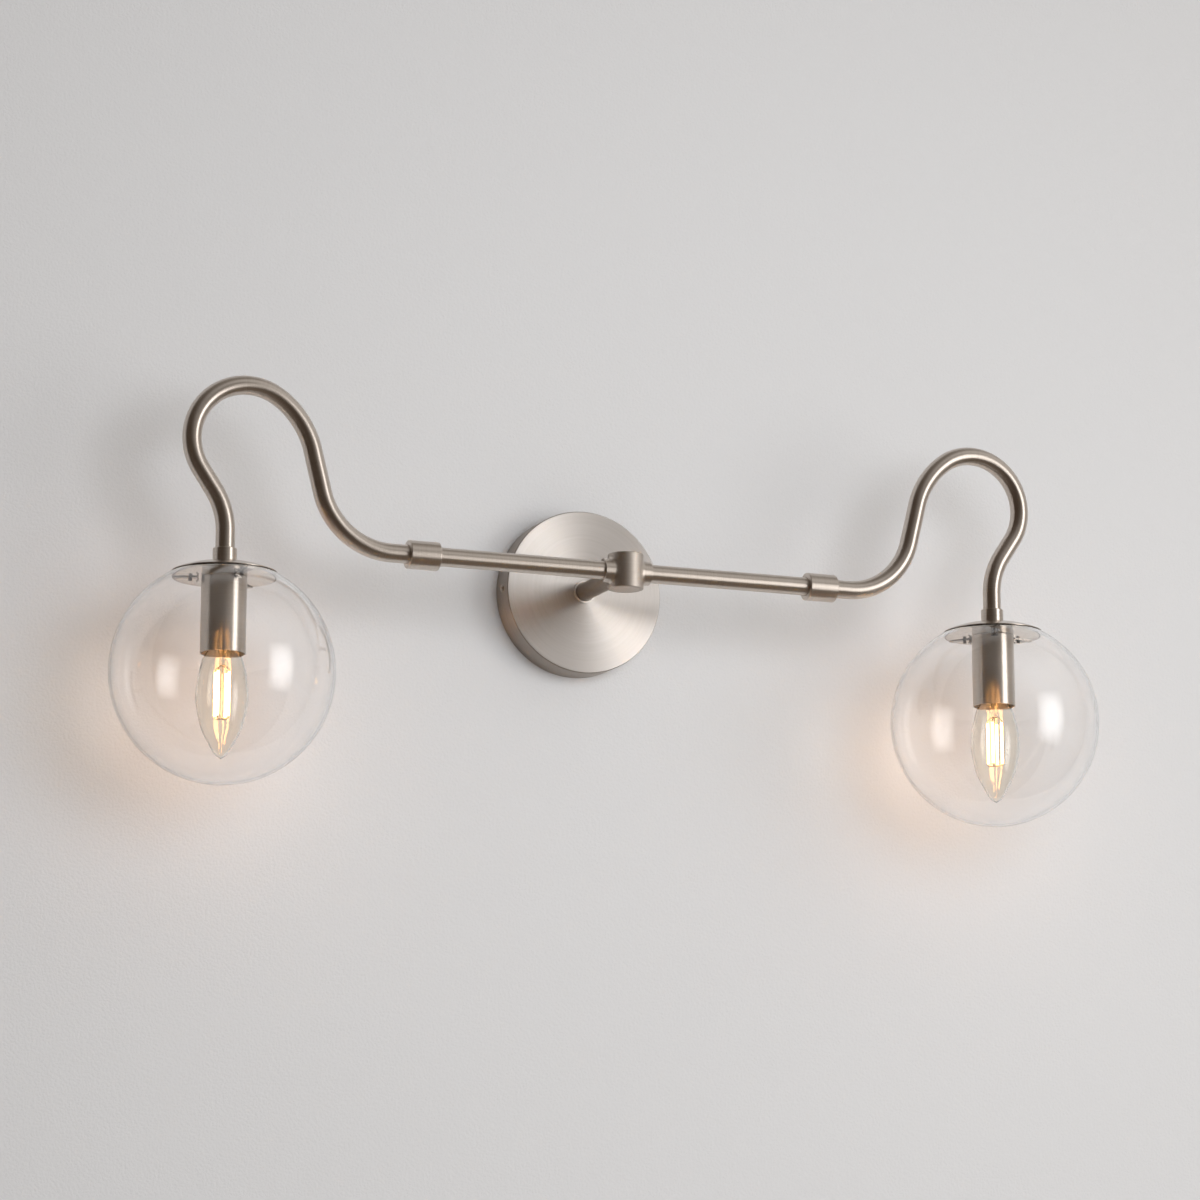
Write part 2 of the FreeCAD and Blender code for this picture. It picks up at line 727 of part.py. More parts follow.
def bulb_profile(inset):
    """The candle bulb's outline from the tip to the neck, moved inwards by inset."""
    points = [V(0, 0, 0)]
    points += [V(bulb_max_radius * r, 0, bulb_max_height * h) for r, h in bulb_flank_ratios]
    points += [V(bulb_max_radius, 0, bulb_max_height)]
    rise = bulb_neck_height - bulb_max_height
    points += [V(bulb_max_radius * r, 0, bulb_max_height + rise * h) for r, h in bulb_shoulder_ratios]
    points += [V(bulb_neck_radius, 0, bulb_neck_height)]
    ends = {"InitialTangent": V(1, 0, 0), "FinalTangent": V(0, 0, 1), "Scale": False}
    curve = Part.BSplineCurve()
    curve.interpolate(Points=points, **ends)
    if inset:
        along = [curve.tangent(curve.parameter(p))[0] for p in points]
        points = [p - V(t.z, 0, -t.x) * inset for p, t in zip(points, along)]
        curve = Part.BSplineCurve()
        curve.interpolate(Points=points, **ends)
    return curve.toShape()


def bulb_glass(side):
    """The clear candle envelope, whose neck goes up inside the cap."""
    top = bulb_neck_height + bulb_neck_in_cap
    bore = bulb_neck_radius - bulb_wall
    edges = [bulb_profile(0), bulb_profile(bulb_wall)]
    edges += lines((bulb_neck_radius, bulb_neck_height), (bulb_neck_radius, top), (bore, top),
                   (bore, bulb_neck_height))
    edges += [line((0, bulb_wall), (0, 0))]
    return turned(Part.__sortEdges__(edges), globe_axis(side, bulb_tip_z))


def bulb_cap(side):
    """The bulb's metal screw cap, with a wider skirt where it grips the glass."""
    low, top = cap_low_height, cap_top_height
    inner = cap_shell_radius - cap_shell_wall
    edges = lines((inner, low), (cap_skirt_radius, low), (cap_skirt_radius, low + cap_skirt_length),
                  (cap_shell_radius, low + cap_skirt_length + cap_skirt_edge),
                  (cap_shell_radius, top - cap_shell_edge), (cap_shell_radius - cap_shell_edge, top),
                  (insulator_tip_radius, top),
                  (insulator_tip_radius, top - cap_shell_wall),
                  (inner - cap_shell_edge, top - cap_shell_wall),
                  (inner, top - cap_shell_edge - cap_shell_wall), (inner, low))
    return turned(edges, globe_axis(side, bulb_tip_z))


def bulb_insulator(side):
    """The insulating cone between the cap and the centre contact."""
    base = globe_axis(side, bulb_top_z - insulator_height - pip_height)
    return Part.makeCone(cap_shell_radius - cap_shell_edge, insulator_tip_radius, insulator_height, base, UP)


def bulb_pip(side):
    """The bulb's centre contact."""
    base = globe_axis(side, bulb_top_z - pip_height)
    return Part.makeCone(pip_radius, pip_tip_radius, pip_height, base, UP)


def bulb_mount(side):
    """The glass mount inside the neck: a flare and a tube."""
    top = bulb_neck_height
    edges = lines((0, mount_low), (mount_radius, mount_low), (mount_radius, top - flare_height),
                  (flare_radius, top), (0, top), (0, mount_low))
    return turned(edges, globe_axis(side, bulb_tip_z))


def filament_places(side):
    """The lower end of each filament."""
    centre = globe_axis(side, bulb_tip_z + filament_low)
    return [centre + FreeCAD.Rotation(UP, 45 + 360 * k / filament_count).multVec(
        V(filament_circle, 0, 0)) for k in range(filament_count)]


def filaments(side):
    """Upright filament sticks on a circle."""
    return Part.makeCompound([rod(filament_radius, filament_length, at, UP)
                              for at in filament_places(side)])


def bulb_wires(side):
    """Wires from a stud under the mount to each filament's top, and a cross that joins them below."""
    centre = globe_axis(side, bulb_tip_z)
    post_low = filament_low - 2 * filament_radius
    stud_low = mount_low - support_stud_height
    hub_at, stud = centre + UP * post_low, centre + UP * stud_low
    wires = rod(support_stud_radius, support_stud_height, stud, UP)
    wires = wires.fuse(rod(support_radius, stud_low - post_low, hub_at, UP))
    knob = 1.5 * support_radius
    wires = wires.fuse(Part.makeSphere(knob, hub_at))
    for at in filament_places(side):
        foot = V(at.x, at.y, centre.z + post_low)
        out = (foot - hub_at).normalize()
        wires = wires.fuse(rod(support_radius, filament_circle, hub_at, out))
        wires = wires.fuse(rod(support_radius, filament_low - post_low, foot, UP))
        wires = wires.fuse(Part.makeSphere(knob, foot))
        high = V(at.x, at.y, centre.z + filament_top)
        knee = high + UP * (stud_low - filament_top) / 2
        goal = stud + out * (support_stud_radius / 2) + UP * (support_stud_height / 2)
        wires = wires.fuse(rod(support_radius, (knee - high).Length, high, UP))
        wires = wires.fuse(Part.makeSphere(knob, knee))
        wires = wires.fuse(rod(support_radius, (goal - knee).Length, knee, goal - knee))
    return wires


# ======== Leads ========

def lead(side):
    """One side's two-core lead, from the terminal block through the tubes to the lampholder."""
    start = V(side * lead_offset, -lead_y, -block_top)
    through_stem = bar_reach - lead_y - lead_bend - lead_hub_bend
    along_bar = coupling_x + neck_lead_in - lead_offset - lead_hub_bend
    down = foot_z - (rod_low_z - lead_end)
    steps = [("run", block_top - lead_bend), ("bend", lead_bend, quarter_deg, V(1, 0, 0)),
             ("run", through_stem), ("bend", lead_hub_bend, quarter_deg, V(0, 0, side)),
             ("run", along_bar)] + neck_steps(side) + [("run", down)]
    cable, _ = walk_tube(start, UP, steps, lead_radius, 0.0)
    return cable


# ======== Nodes ========

CENTRE = {
    "mounting_plate": mounting_plate, "earth_screw": earth_screw, "canopy": canopy,
    "stem": stem, "stem_ring": stem_ring, "stem_rod": stem_rod, "stem_washer": stem_washer,
    "stem_nut": stem_nut, "terminal_block": terminal_block, "hub": hub, "hub_plug": hub_plug,
    "side_nuts": pair(side_nut), "spacers": pair(spacer), "socket_rods": pair(socket_rod),
    "lock_nuts": pair(lock_nut),
}
EACH_SIDE = {
    "side_screw": side_screw, "bar_tube": bar_tube, "coupling": coupling,
    "swan_neck": swan_neck, "collar": collar, "cap": cap, "holder_plate": holder_plate,
    "clips": clips, "clip_screws": clip_screws,
    "socket_cover": socket_cover, "lampholder": lampholder, "holder_shell": holder_shell,
    "holder_contact": holder_contact, "globe": globe, "bulb_glass": bulb_glass,
    "bulb_cap": bulb_cap, "bulb_insulator": bulb_insulator, "bulb_pip": bulb_pip,
    "bulb_mount": bulb_mount, "filaments": filaments, "bulb_wires": bulb_wires, "lead": lead,
}


def export(name, shape):
    """Checks one node's solids and writes its STEP file."""
    if not shape.isValid() or not shape.Solids:
        raise ValueError("bad solid: " + name)
    shape.exportStep("parts/" + name + ".step")


os.makedirs("parts", exist_ok=True)
for node_name, make in CENTRE.items():
    export(node_name, make())
for side_name, side_sign in SIDES.items():
    for node_name, make in EACH_SIDE.items():
        export(side_name + "_" + node_name, make(side_sign))
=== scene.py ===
# %% [markdown]
# # Dressing a double arm wall sconce
#
# The lamp is a round wall cup, a stem, a hub, a straight bar and two swan-neck tubes, each with a
# clear glass globe round a candle bulb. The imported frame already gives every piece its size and
# place. This lesson remakes the pieces that the eye rests on with smooth, finely rounded surfaces,
# and gives each one the finish of the real thing.

# %% The frame and the units
import math

import bmesh
import bpy
import numpy as np
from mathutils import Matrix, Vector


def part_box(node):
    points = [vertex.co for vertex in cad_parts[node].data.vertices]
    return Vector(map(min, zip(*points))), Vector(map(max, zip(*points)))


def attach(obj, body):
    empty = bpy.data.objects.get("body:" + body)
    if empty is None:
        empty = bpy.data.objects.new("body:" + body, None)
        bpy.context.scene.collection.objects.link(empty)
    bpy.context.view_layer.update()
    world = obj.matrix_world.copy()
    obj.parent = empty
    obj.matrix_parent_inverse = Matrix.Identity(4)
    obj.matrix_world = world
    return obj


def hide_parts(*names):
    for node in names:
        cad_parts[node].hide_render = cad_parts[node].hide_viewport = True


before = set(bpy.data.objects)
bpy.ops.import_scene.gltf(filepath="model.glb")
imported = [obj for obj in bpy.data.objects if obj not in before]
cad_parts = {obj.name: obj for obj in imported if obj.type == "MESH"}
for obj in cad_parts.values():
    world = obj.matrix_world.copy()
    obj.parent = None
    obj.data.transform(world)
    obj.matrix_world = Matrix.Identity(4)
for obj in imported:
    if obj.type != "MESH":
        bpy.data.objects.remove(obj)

MM = 0.001
TAU = 2 * math.pi
SIDES = (("left", -1), ("right", 1))
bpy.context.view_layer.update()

# %% [markdown]
# ## Measures
#
# Every place comes from the frame: the box of a node gives its axis and its levels. Only the sizes
# that a box can't give, such as a wall or the radii of a bend, are written here, in millimetres.
# Those that several pieces share come first, and the others stand with their own piece.

# %% Shared sizes
TUBE, TUBE_BORE = 6.5, 5.05   # outer and inner radius of every tube
GAP = 0.05                    # between a tube and the seat that it slips into
ROD_HOLE = 5.15               # radius of the holes that the hollow rods pass
REACH = 100.0                 # from the wall to the axis of the bar


def levels(node):
    """A node's box in millimetres: its lowest and its highest corner."""
    low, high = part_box(node)
    return np.array(low) / MM, np.array(high) / MM


def radius_and_levels(node):
    """A round, upright node's radius, half its box's width, and its lowest and highest level."""
    low, high = levels(node)
    return (high[0] - low[0]) / 2, low[2], high[2]


globe_low, globe_high = levels("right_globe")
globe_axis_x = ((globe_low + globe_high) / 2)[0]
print("globe axis at x =", round(globe_axis_x, 2), "mm, neck end at z =",
      round(levels("right_swan_neck")[0][2], 2), "mm")

# %% [markdown]
# ## Surfaces from rings
#
# Nearly every piece of a lamp like this is turned on a lathe or bent from tube, so one kind of
# surface makes them all: rows of points, each row a ring. A turned piece has its rings on one
# straight axis, and a bent tube has them along its centreline. Modifiers could do the same, but a
# grid of points gives every face its place on the piece's own map, "brush". The map holds the
# distance along the rows and the distance round them, so a brushed finish can follow the piece.

# %% Rings, and the skin over them
def rings(centres, radii, across, beside, turns=96, shift=0.0):
    """A grid of points (rows, turns, 3), each row a ring.

    Point = centre + radius x (cos(angle) x across + sin(angle) x beside) + shift.
    """
    angle = np.linspace(0, TAU, turns, endpoint=False)
    radii = np.asarray(radii, float).reshape(len(centres), -1)[:, :, None]
    across = np.broadcast_to(across, np.shape(centres))[:, None, :]
    beside = np.broadcast_to(beside, np.shape(centres))[:, None, :]
    wheel = np.cos(angle)[None, :, None] * across + np.sin(angle)[None, :, None] * beside
    return np.asarray(centres, float)[:, None, :] + radii * wheel + shift


def skin(grid, closed):
    """Points, faces and the brush map of a grid. Corner k of a face keeps its own map value.

    Each ring joins the next with four-sided faces. Where closed, the last ring joins the first,
    which gives a real wall with an outside and an inside, and that last step counts as 1 mm.
    """
    rows, turns = grid.shape[:2]
    row = np.arange(rows if closed else rows - 1)[:, None]
    turn = np.arange(turns)[None, :]
    next_row, next_turn = (row + 1) % rows, (turn + 1) % turns
    faces = np.stack([row * turns + turn, row * turns + next_turn,
                      next_row * turns + next_turn, next_row * turns + turn], -1).reshape(-1, 4)
    spine = grid.mean(axis=1)
    reach = np.linalg.norm(grid - spine[:, None, :], axis=2).mean(axis=1)
    step = np.linalg.norm(np.diff(grid, axis=0), axis=2).mean(axis=1)
    along = np.concatenate([[0], np.cumsum(step), [step.sum() + 1]])
    round_step = TAU * max(float(np.median(reach)), 0.5) / turns
    u = np.stack([along[row], along[row], along[row + 1], along[row + 1]], -1)
    v = np.stack([turn, turn + 1, turn + 1, turn], -1) * round_step
    u, v = np.broadcast_arrays(u, v)
    return grid.reshape(-1, 3), faces, np.stack([u, v], -1).reshape(-1, 2)


# %% [markdown]
# ## From skins to pieces
#
# A piece may have several skins, as the hub has one for the barrel and one for each boss. They go
# into one mesh in metres. Edges sharper than a limit stay crisp and all others are shaded smooth,
# and weighted normals keep large faces flat beside their small rounded edges.

# %% Meshes and pieces
JOINED = 1e-7                  # points nearer than this, in metres, become one
CREASE = math.radians(35)      # an edge that turns by more stays crisp


def mesh_from(name, skins):
    """One mesh, in metres, from one or several skins. Points that meet are joined."""
    points = np.concatenate([s[0] for s in skins])
    start = np.cumsum([0] + [len(s[0]) for s in skins[:-1]])
    faces = np.concatenate([s[1] + k for s, k in zip(skins, start)])
    mesh = bpy.data.meshes.new(name)
    mesh.from_pydata((points * MM).tolist(), [], faces.tolist())
    values = np.concatenate([s[2] for s in skins])
    layer = mesh.uv_layers.new(name="brush")
    layer.data.foreach_set("uv", (values * MM).astype(np.float32).ravel())
    work = bmesh.new()
    work.from_mesh(mesh)
    bmesh.ops.remove_doubles(work, verts=work.verts, dist=JOINED)
    bmesh.ops.recalc_face_normals(work, faces=work.faces)
    work.to_mesh(mesh)
    work.free()
    mesh.polygons.foreach_set("use_smooth", np.ones(len(mesh.polygons), bool))
    mesh.set_sharp_from_angle(angle=CREASE)
    return mesh


def place(name, skins, body, nodes, material):
    """Makes a piece from its skins, on its body, in place of the nodes it stands for."""
    mesh = mesh_from(name, skins)
    piece = bpy.data.objects.new(name, mesh)
    bpy.context.scene.collection.objects.link(piece)
    mesh.materials.append(material)
    even = piece.modifiers.new("even_normals", "WEIGHTED_NORMAL")
    even.keep_sharp = True
    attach(piece, body)
    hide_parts(*nodes)
    return piece


# %% [markdown]
# ## Turned pieces
#
# A turned piece is an outline of radius and height, carried round an axis. Real edges are never
# razor sharp, so an outline gives each corner its own small radius.

# %% Outlines and turning
def rounded(corners, steps=5):
    """A closed outline whose corners (r, height, radius) become curves.

    Each curve runs from one side to the other by (1-t)^2 start + 2t(1-t) corner + t^2 end.
    """
    corners = [tuple(c) + (0.0,) * (3 - len(c)) for c in corners]
    out, t = [], np.linspace(0, 1, steps)[:, None]
    for k, (r, z, radius) in enumerate(corners):
        here = np.array([r, z])
        before = np.array(corners[k - 1][:2]) - here
        after = np.array(corners[(k + 1) % len(corners)][:2]) - here
        if radius == 0:
            out.append(here[None, :])
            continue
        a = here + before / np.linalg.norm(before) * radius
        b = here + after / np.linalg.norm(after) * radius
        out.append((1 - t) ** 2 * a + 2 * t * (1 - t) * here + t ** 2 * b)
    return np.concatenate(out)


X, Y, Z = np.eye(3)
PLANES = {"x": (X, Y, Z), "-x": (-X, Y, Z), "y": (Y, X, Z), "-y": (-Y, X, Z), "z": (Z, X, Y)}


def turned(outline, base, way="z", turns=96, closed=True):
    """The skin of a piece turned about the line through base.

    Each row of the outline is (radius, height): a ring of that radius, centred at
    base + height x the direction that way names.
    """
    out, across, beside = PLANES[way]
    outline = np.asarray(outline, float)
    centres = np.asarray(base, float) + outline[:, 1:2] * out
    return skin(rings(centres, outline[:, 0], across, beside, turns), closed)


# %% [markdown]
# ## Helpers for finishes
#
# A material is a small tree of nodes. One helper adds a node and sets or links its inputs, and
# colours are written as sRGB hex values, as a paint chart gives them.

# %% Colours and nodes
def linear(hex_colour):
    """The linear colour of an sRGB hex value.

    Each channel c becomes ((c + 0.055) / 1.055)^2.4, or c / 12.92 in the deepest shades.
    """
    c = np.array([int(hex_colour[k:k + 2], 16) for k in (0, 2, 4)]) / 255
    c = np.where(c <= 0.04045, c / 12.92, ((c + 0.055) / 1.055) ** 2.4)
    return (*map(float, c), 1.0)


def node(tree, kind, inputs=(), **settings):
    """Adds one node, with its settings, and sets or links its inputs."""
    made = tree.nodes.new(kind)
    for key, value in settings.items():
        setattr(made, key, value)
    for key, value in dict(inputs).items():
        if isinstance(value, bpy.types.NodeSocket):
            tree.links.new(value, made.inputs[key])
        else:
            made.inputs[key].default_value = value
    return made


def new_material(name):
    """A material with nothing in its node tree but its output."""
    made = bpy.data.materials.new(name)
    made.use_nodes = True
    made.node_tree.nodes.clear()
    return made, made.node_tree, node(made.node_tree, "ShaderNodeOutputMaterial")


# %% Noise, ranges and tints
def streaks(tree, source, along_mm, across_mm, seed):
    """Noise drawn out along the second direction: lines along_mm long, across_mm apart."""
    scale = (1000 / across_mm, 1000 / along_mm, 1000 / across_mm)
    mapped = node(tree, "ShaderNodeMapping", {"Vector": source, "Scale": scale,
                                              "Location": (seed, seed, seed)})
    return node(tree, "ShaderNodeTexNoise", {"Vector": mapped.outputs[0], "Scale": 1.0,
                                             "Detail": 3.0, "Roughness": 0.6})


def spread(tree, value, low, high):
    """Moves a noise value from its usual range, 0.25 to 0.75, to low..high."""
    made = node(tree, "ShaderNodeMapRange", {"Value": value, "From Min": 0.25, "From Max": 0.75,
                                             "To Min": low, "To Max": high})
    return made.outputs[0]


def tinted(tree, value, dark, light):
    """A colour between two sRGB hex values."""
    mix = node(tree, "ShaderNodeMix", data_type="RGBA")
    tree.links.new(value, mix.inputs[0])
    mix.inputs[6].default_value, mix.inputs[7].default_value = linear(dark), linear(light)
    return mix.outputs[2]


# %% [markdown]
# ## Metal
#
# Satin nickel is the whole character of this lamp. Each piece is brushed while it turns, so the
# surface carries hair-thin lines round its axis: highlights stay sharp along the lines and spread
# across them. The shader's anisotropy does that, with its tangent along the brush map's first
# direction. Stretched noise adds the lines themselves, in roughness and in a very shallow bump.
# Lines wider than about 0.1 mm would show as bands on the thin tubes, so theirs are finer.
#
# Plated, pressed and machined pieces have an even finish instead, with a fine grain.

# %% Brushed and even metal
def brushed_metal(name, dark, light, rough, along_mm, across_mm, stretch):
    """Metal brushed round its own axis: highlights draw out along the map's first direction."""
    made, tree, out = new_material(name)
    brush = node(tree, "ShaderNodeUVMap", uv_map="brush")
    hair = streaks(tree, brush.outputs[0], along_mm, across_mm, 3.0)
    broad = streaks(tree, brush.outputs[0], along_mm * 2, across_mm * 9, 11.0)
    bump = node(tree, "ShaderNodeBump", {"Height": hair.outputs[0], "Strength": 0.05,
                                         "Distance": 0.00002})
    tangent = node(tree, "ShaderNodeTangent", direction_type="UV_MAP", uv_map="brush")
    metal = node(tree, "ShaderNodeBsdfPrincipled", {
        "Base Color": tinted(tree, spread(tree, broad.outputs[0], 0.0, 1.0), dark, light),
        "Metallic": 1.0, "Roughness": spread(tree, hair.outputs[0], rough - 0.04, rough + 0.04),
        "Anisotropic": stretch, "Tangent": tangent.outputs[0], "Normal": bump.outputs[0]})
    tree.links.new(metal.outputs[0], out.inputs[0])
    return made


def even_metal(name, dark, light, rough, grain_mm=0.8):
    """Metal with an even finish, for plated, pressed and machined pieces."""
    made, tree, out = new_material(name)
    place_in = node(tree, "ShaderNodeTexCoord")
    grain = streaks(tree, place_in.outputs["Object"], grain_mm, grain_mm, 5.0)
    cloud = streaks(tree, place_in.outputs["Object"], 9.0, 9.0, 7.0)
    bump = node(tree, "ShaderNodeBump", {"Height": grain.outputs[0], "Strength": 0.08,
                                         "Distance": 0.00004})
    metal = node(tree, "ShaderNodeBsdfPrincipled", {
        "Base Color": tinted(tree, spread(tree, cloud.outputs[0], 0.0, 1.0), dark, light),
        "Metallic": 1.0, "Roughness": spread(tree, grain.outputs[0], rough * 0.8, rough * 1.25),
        "Normal": bump.outputs[0]})
    tree.links.new(metal.outputs[0], out.inputs[0])
    return made


# %% The lamp's metals
satin = brushed_metal("satin_nickel_tube", "C4BAB0", "CDC4BB", 0.30, 30.0, 0.08, 0.93)
# The spun face is lighter than the nickel on the tubes: painted highlight, so its fans come out
# brighter.
satin_face_painted_light = brushed_metal("satin_nickel_spun_face_painted_light", "DFDBD7", "E7E3E0", 0.44, 60.0, 0.18, 0.85)
# The rim is a darker copy of the same nickel: painted shade for the dim room that it faces.
satin_rim_painted_shade = brushed_metal("satin_nickel_rim_painted_shade", "9C9288", "A69C93", 0.30, 30.0, 0.16, 0.85)
satin_hub = brushed_metal("satin_nickel_casting", "C0B7AE", "C9C1B9", 0.50, 12.0, 0.20, 0.0)
satin_even = even_metal("satin_nickel_plate", "C4BAB0", "CDC4BB", 0.36)
satin_cap = even_metal("satin_nickel_spun_cap", "C0B6AC", "CAC1B8", 0.22)
# Near white, far lighter than nickel: painted highlight for the ring at the stem's foot.
satin_ring_painted_highlight = even_metal("satin_nickel_bead_painted_highlight", "F1EDE9", "F6F3F0", 0.42)
satin_screw = even_metal("satin_nickel_screw", "A39A90", "ADA49B", 0.30)
polished = even_metal("polished_nickel_plate", "C9C2B9", "D6D0C8", 0.07, 2.0)
zinc = even_metal("bright_zinc_plate", "A9ABAD", "C6C8CA", 0.32)
brass = even_metal("plain_brass", "B98F4C", "D0A862", 0.28)
bulb_metal = even_metal("bright_aluminium_cap", "C4C2BD", "D9D7D2", 0.24)
wire_metal = even_metal("nickel_wire", "8E857B", "A89F94", 0.30)
spring_steel = even_metal("spring_steel", "938D87", "A39D97", 0.14)
dark_steel = even_metal("blackened_steel", "4A4745", "5A5653", 0.36)
print("metals:", len(bpy.data.materials))

# %% [markdown]
# ## Porcelain, plastic, glass and light
#
# The hidden pieces are plain: glazed porcelain, moulded plastic, cable sheath.
#
# The glass is clear, so nearly all of its look is its real wall thickness, and a little waviness
# makes it blown glass. To the light on its way to the wall it is a clear sheet, darker where it is
# seen on edge, because light bent through real glass would take far more samples to show. That
# gives the globes the faint rings of shadow that real ones throw.
#
# A filament stick is a rod of glowing phosphor, a little uneven along its length.

# %% Coated pieces and glass
def coated(name, dark, light, rough, grain_mm=1.2, gloss=0.0):
    """Porcelain, moulded plastic or cable sheath: a coloured body with a fine surface."""
    made, tree, out = new_material(name)
    place_in = node(tree, "ShaderNodeTexCoord")
    grain = streaks(tree, place_in.outputs["Object"], grain_mm, grain_mm, 2.0)
    bump = node(tree, "ShaderNodeBump", {"Height": grain.outputs[0], "Strength": 0.12,
                                         "Distance": 0.00005})
    body = node(tree, "ShaderNodeBsdfPrincipled", {
        "Base Color": tinted(tree, spread(tree, grain.outputs[0], 0.0, 1.0), dark, light),
        "Roughness": spread(tree, grain.outputs[0], rough * 0.85, rough * 1.15),
        "Coat Weight": gloss, "Coat Roughness": 0.08, "Normal": bump.outputs[0]})
    tree.links.new(body.outputs[0], out.inputs[0])
    return made


def clear_glass(name, tint, wave_mm, wave, shade):
    """Clear glass with faint waves. Its shadow is light, and darker where it is seen on edge.

    The shadow's colour goes from near white to shade by facing^3, facing being 0 on a face that
    looks at the lamp and 1 on one that stands on edge to it.
    """
    made, tree, out = new_material(name)
    place_in = node(tree, "ShaderNodeTexCoord")
    waves = streaks(tree, place_in.outputs["Object"], wave_mm, wave_mm, 9.0)
    bump = node(tree, "ShaderNodeBump", {"Height": waves.outputs[0], "Strength": wave,
                                         "Distance": 0.0005})
    glass = node(tree, "ShaderNodeBsdfPrincipled", {
        "Base Color": linear(tint), "Roughness": 0.0, "IOR": 1.5, "Transmission Weight": 1.0,
        "Normal": bump.outputs[0]})
    facing = node(tree, "ShaderNodeLayerWeight", {"Blend": 0.5})
    steep = node(tree, "ShaderNodeMath", {0: facing.outputs["Facing"], 1: 3.0}, operation="POWER")
    clear = node(tree, "ShaderNodeBsdfTransparent", {
        "Color": tinted(tree, steep.outputs[0], "F3F3F2", shade)})
    path = node(tree, "ShaderNodeLightPath")
    mix = node(tree, "ShaderNodeMixShader", {0: path.outputs["Is Shadow Ray"],
                                             1: glass.outputs[0], 2: clear.outputs[0]})
    tree.links.new(mix.outputs[0], out.inputs[0])
    return made


def glowing(name, colour, strength):
    """A lit filament stick, a little brighter in some places than in others."""
    made, tree, out = new_material(name)
    brush = node(tree, "ShaderNodeUVMap", uv_map="brush")
    grain = streaks(tree, brush.outputs[0], 0.9, 0.9, 4.0)
    level = spread(tree, grain.outputs[0], strength * 0.75, strength * 1.2)
    light = node(tree, "ShaderNodeEmission", {"Color": linear(colour), "Strength": level})
    tree.links.new(light.outputs[0], out.inputs[0])
    return made


# %% The lamp's other finishes
porcelain = coated("white_glazed_porcelain", "E2DCCF", "EFEAE0", 0.22, 2.0, 0.6)
sheath = coated("pale_cable_sheath", "D6D5D0", "E4E3DF", 0.45)
moulded = coated("white_moulded_block", "DEDDD8", "ECEBE7", 0.40)
vitrite = coated("black_glass_insulator", "08080A", "141416", 0.12, 1.0, 0.5)
globe_glass = clear_glass("clear_blown_glass", "FFFFFF", 38.0, 0.03, "8C8C8A")
envelope_glass = clear_glass("clear_bulb_glass", "FFFDF8", 14.0, 0.05, "DADAD8")
filament_glow = glowing("lit_filament", "FFBE76", 900.0)
print("materials:", len(bpy.data.materials))

# %% [markdown]
# ## Wall canopy
#
# The canopy is a pressed cup with a turned-over edge. Its face was brushed while it span, so the
# lines are circles round the stem and every highlight becomes a fan that points at the middle. The
# face's colour is lighter than the same nickel on the tubes, a painted highlight that brightens the
# fans. The rim looks the other way, at the dim room, and is clearly darker: its colour is a darker
# copy of the same nickel, painted shade, which starts on the first curve of the edge.

# %% Canopy
CANOPY_SHEET, CANOPY_TURNS, FACE_ROWS = 1.0, 192, 3
canopy_low, canopy_high = levels("canopy")
depth, rim = -canopy_low[1], canopy_high[0]
inner_rim, inner_depth = rim - CANOPY_SHEET, depth - CANOPY_SHEET
cup = rounded([(ROD_HOLE, depth), (rim, depth, 1.1), (rim, 0, 0.2), (inner_rim, 0, 0.2),
               (inner_rim, inner_depth, 0.8), (ROD_HOLE, inner_depth)], 7)
canopy = place("canopy_cup", [turned(cup, (0, 0, 0), "-y", CANOPY_TURNS)], "lamp", ["canopy"],
               satin_face_painted_light)
# The rim's faces take the darker copy, painted shade, from the first curve of the edge.
canopy.data.materials.append(satin_rim_painted_shade)
face_row = np.arange(len(canopy.data.polygons)) // CANOPY_TURNS
canopy.data.polygons.foreach_set("material_index", (face_row >= FACE_ROWS).astype(np.int32))
print("canopy depth", round(depth, 2), "rim radius", round(rim, 2))

# %% [markdown]
# ## Stem and ring
#
# The stem is a plain tube. A flat ring hides the joint where it meets the canopy's face. Its
# near-white colour, far lighter than the nickel elsewhere, is a painted highlight that makes it
# show bright. Its hole is a little wider than the stem, so the light catches its inner edge.

# %% Stem and ring
stem_low, stem_high = levels("stem")
stem_length = stem_high[1] - stem_low[1]
stem_line = rounded([(TUBE, 0), (TUBE, stem_length, 0.3), (TUBE_BORE, stem_length, 0.3),
                     (TUBE_BORE, 0)])
place("stem_tube", [turned(stem_line, (0, stem_high[1], 0), "-y", 64)], "lamp", ["stem"],
      satin)

ring_low, ring_high = levels("stem_ring")
thick, outer, eye = ring_high[1] - ring_low[1], ring_high[0], TUBE + 0.55
ring_line = rounded([(eye, 0), (outer, 0, 0.1), (outer, thick, 0.25), (eye, thick, 0.2)])
# The ring's near-white finish is painted highlight.
place("stem_foot_ring", [turned(ring_line, (0, ring_high[1], 0), "-y", 96)], "lamp",
      ["stem_ring"], satin_ring_painted_highlight)
print("stem length", round(stem_length, 2), "ring", round(thick, 2), "thick", round(outer, 2))

# %% [markdown]
# ## Hub
#
# The hub is a casting that is machined and then polished, so its three bosses flow into the barrel
# with a small fillet. A boolean would leave a hard line there, so each boss starts on the barrel
# itself. The barrel keeps the softer look of a casting, and the bosses are brushed like the tubes.

# %% Hub
HUB_RADIUS, HUB_HEIGHT = 12.5, 25.0
CHAMBER_RADIUS, ROOF = 9.5, 4.0          # the hollow inside, and the metal above it
BOSS_RADIUS, BOSS_REACH, SEAT = 8.5, 17.5, 6.5
FILLET, SINK = 1.6, 0.02                 # SINK keeps a boss's foot just inside the barrel
hub_centre = np.array([0.0, -REACH, 0.0])
half = HUB_HEIGHT / 2
barrel_line = rounded([(0, half), (HUB_RADIUS, half, 0.9), (HUB_RADIUS, -half, 0.9),
                       (CHAMBER_RADIUS, -half, 0.25), (CHAMBER_RADIUS, half - ROOF),
                       (0, half - ROOF)])


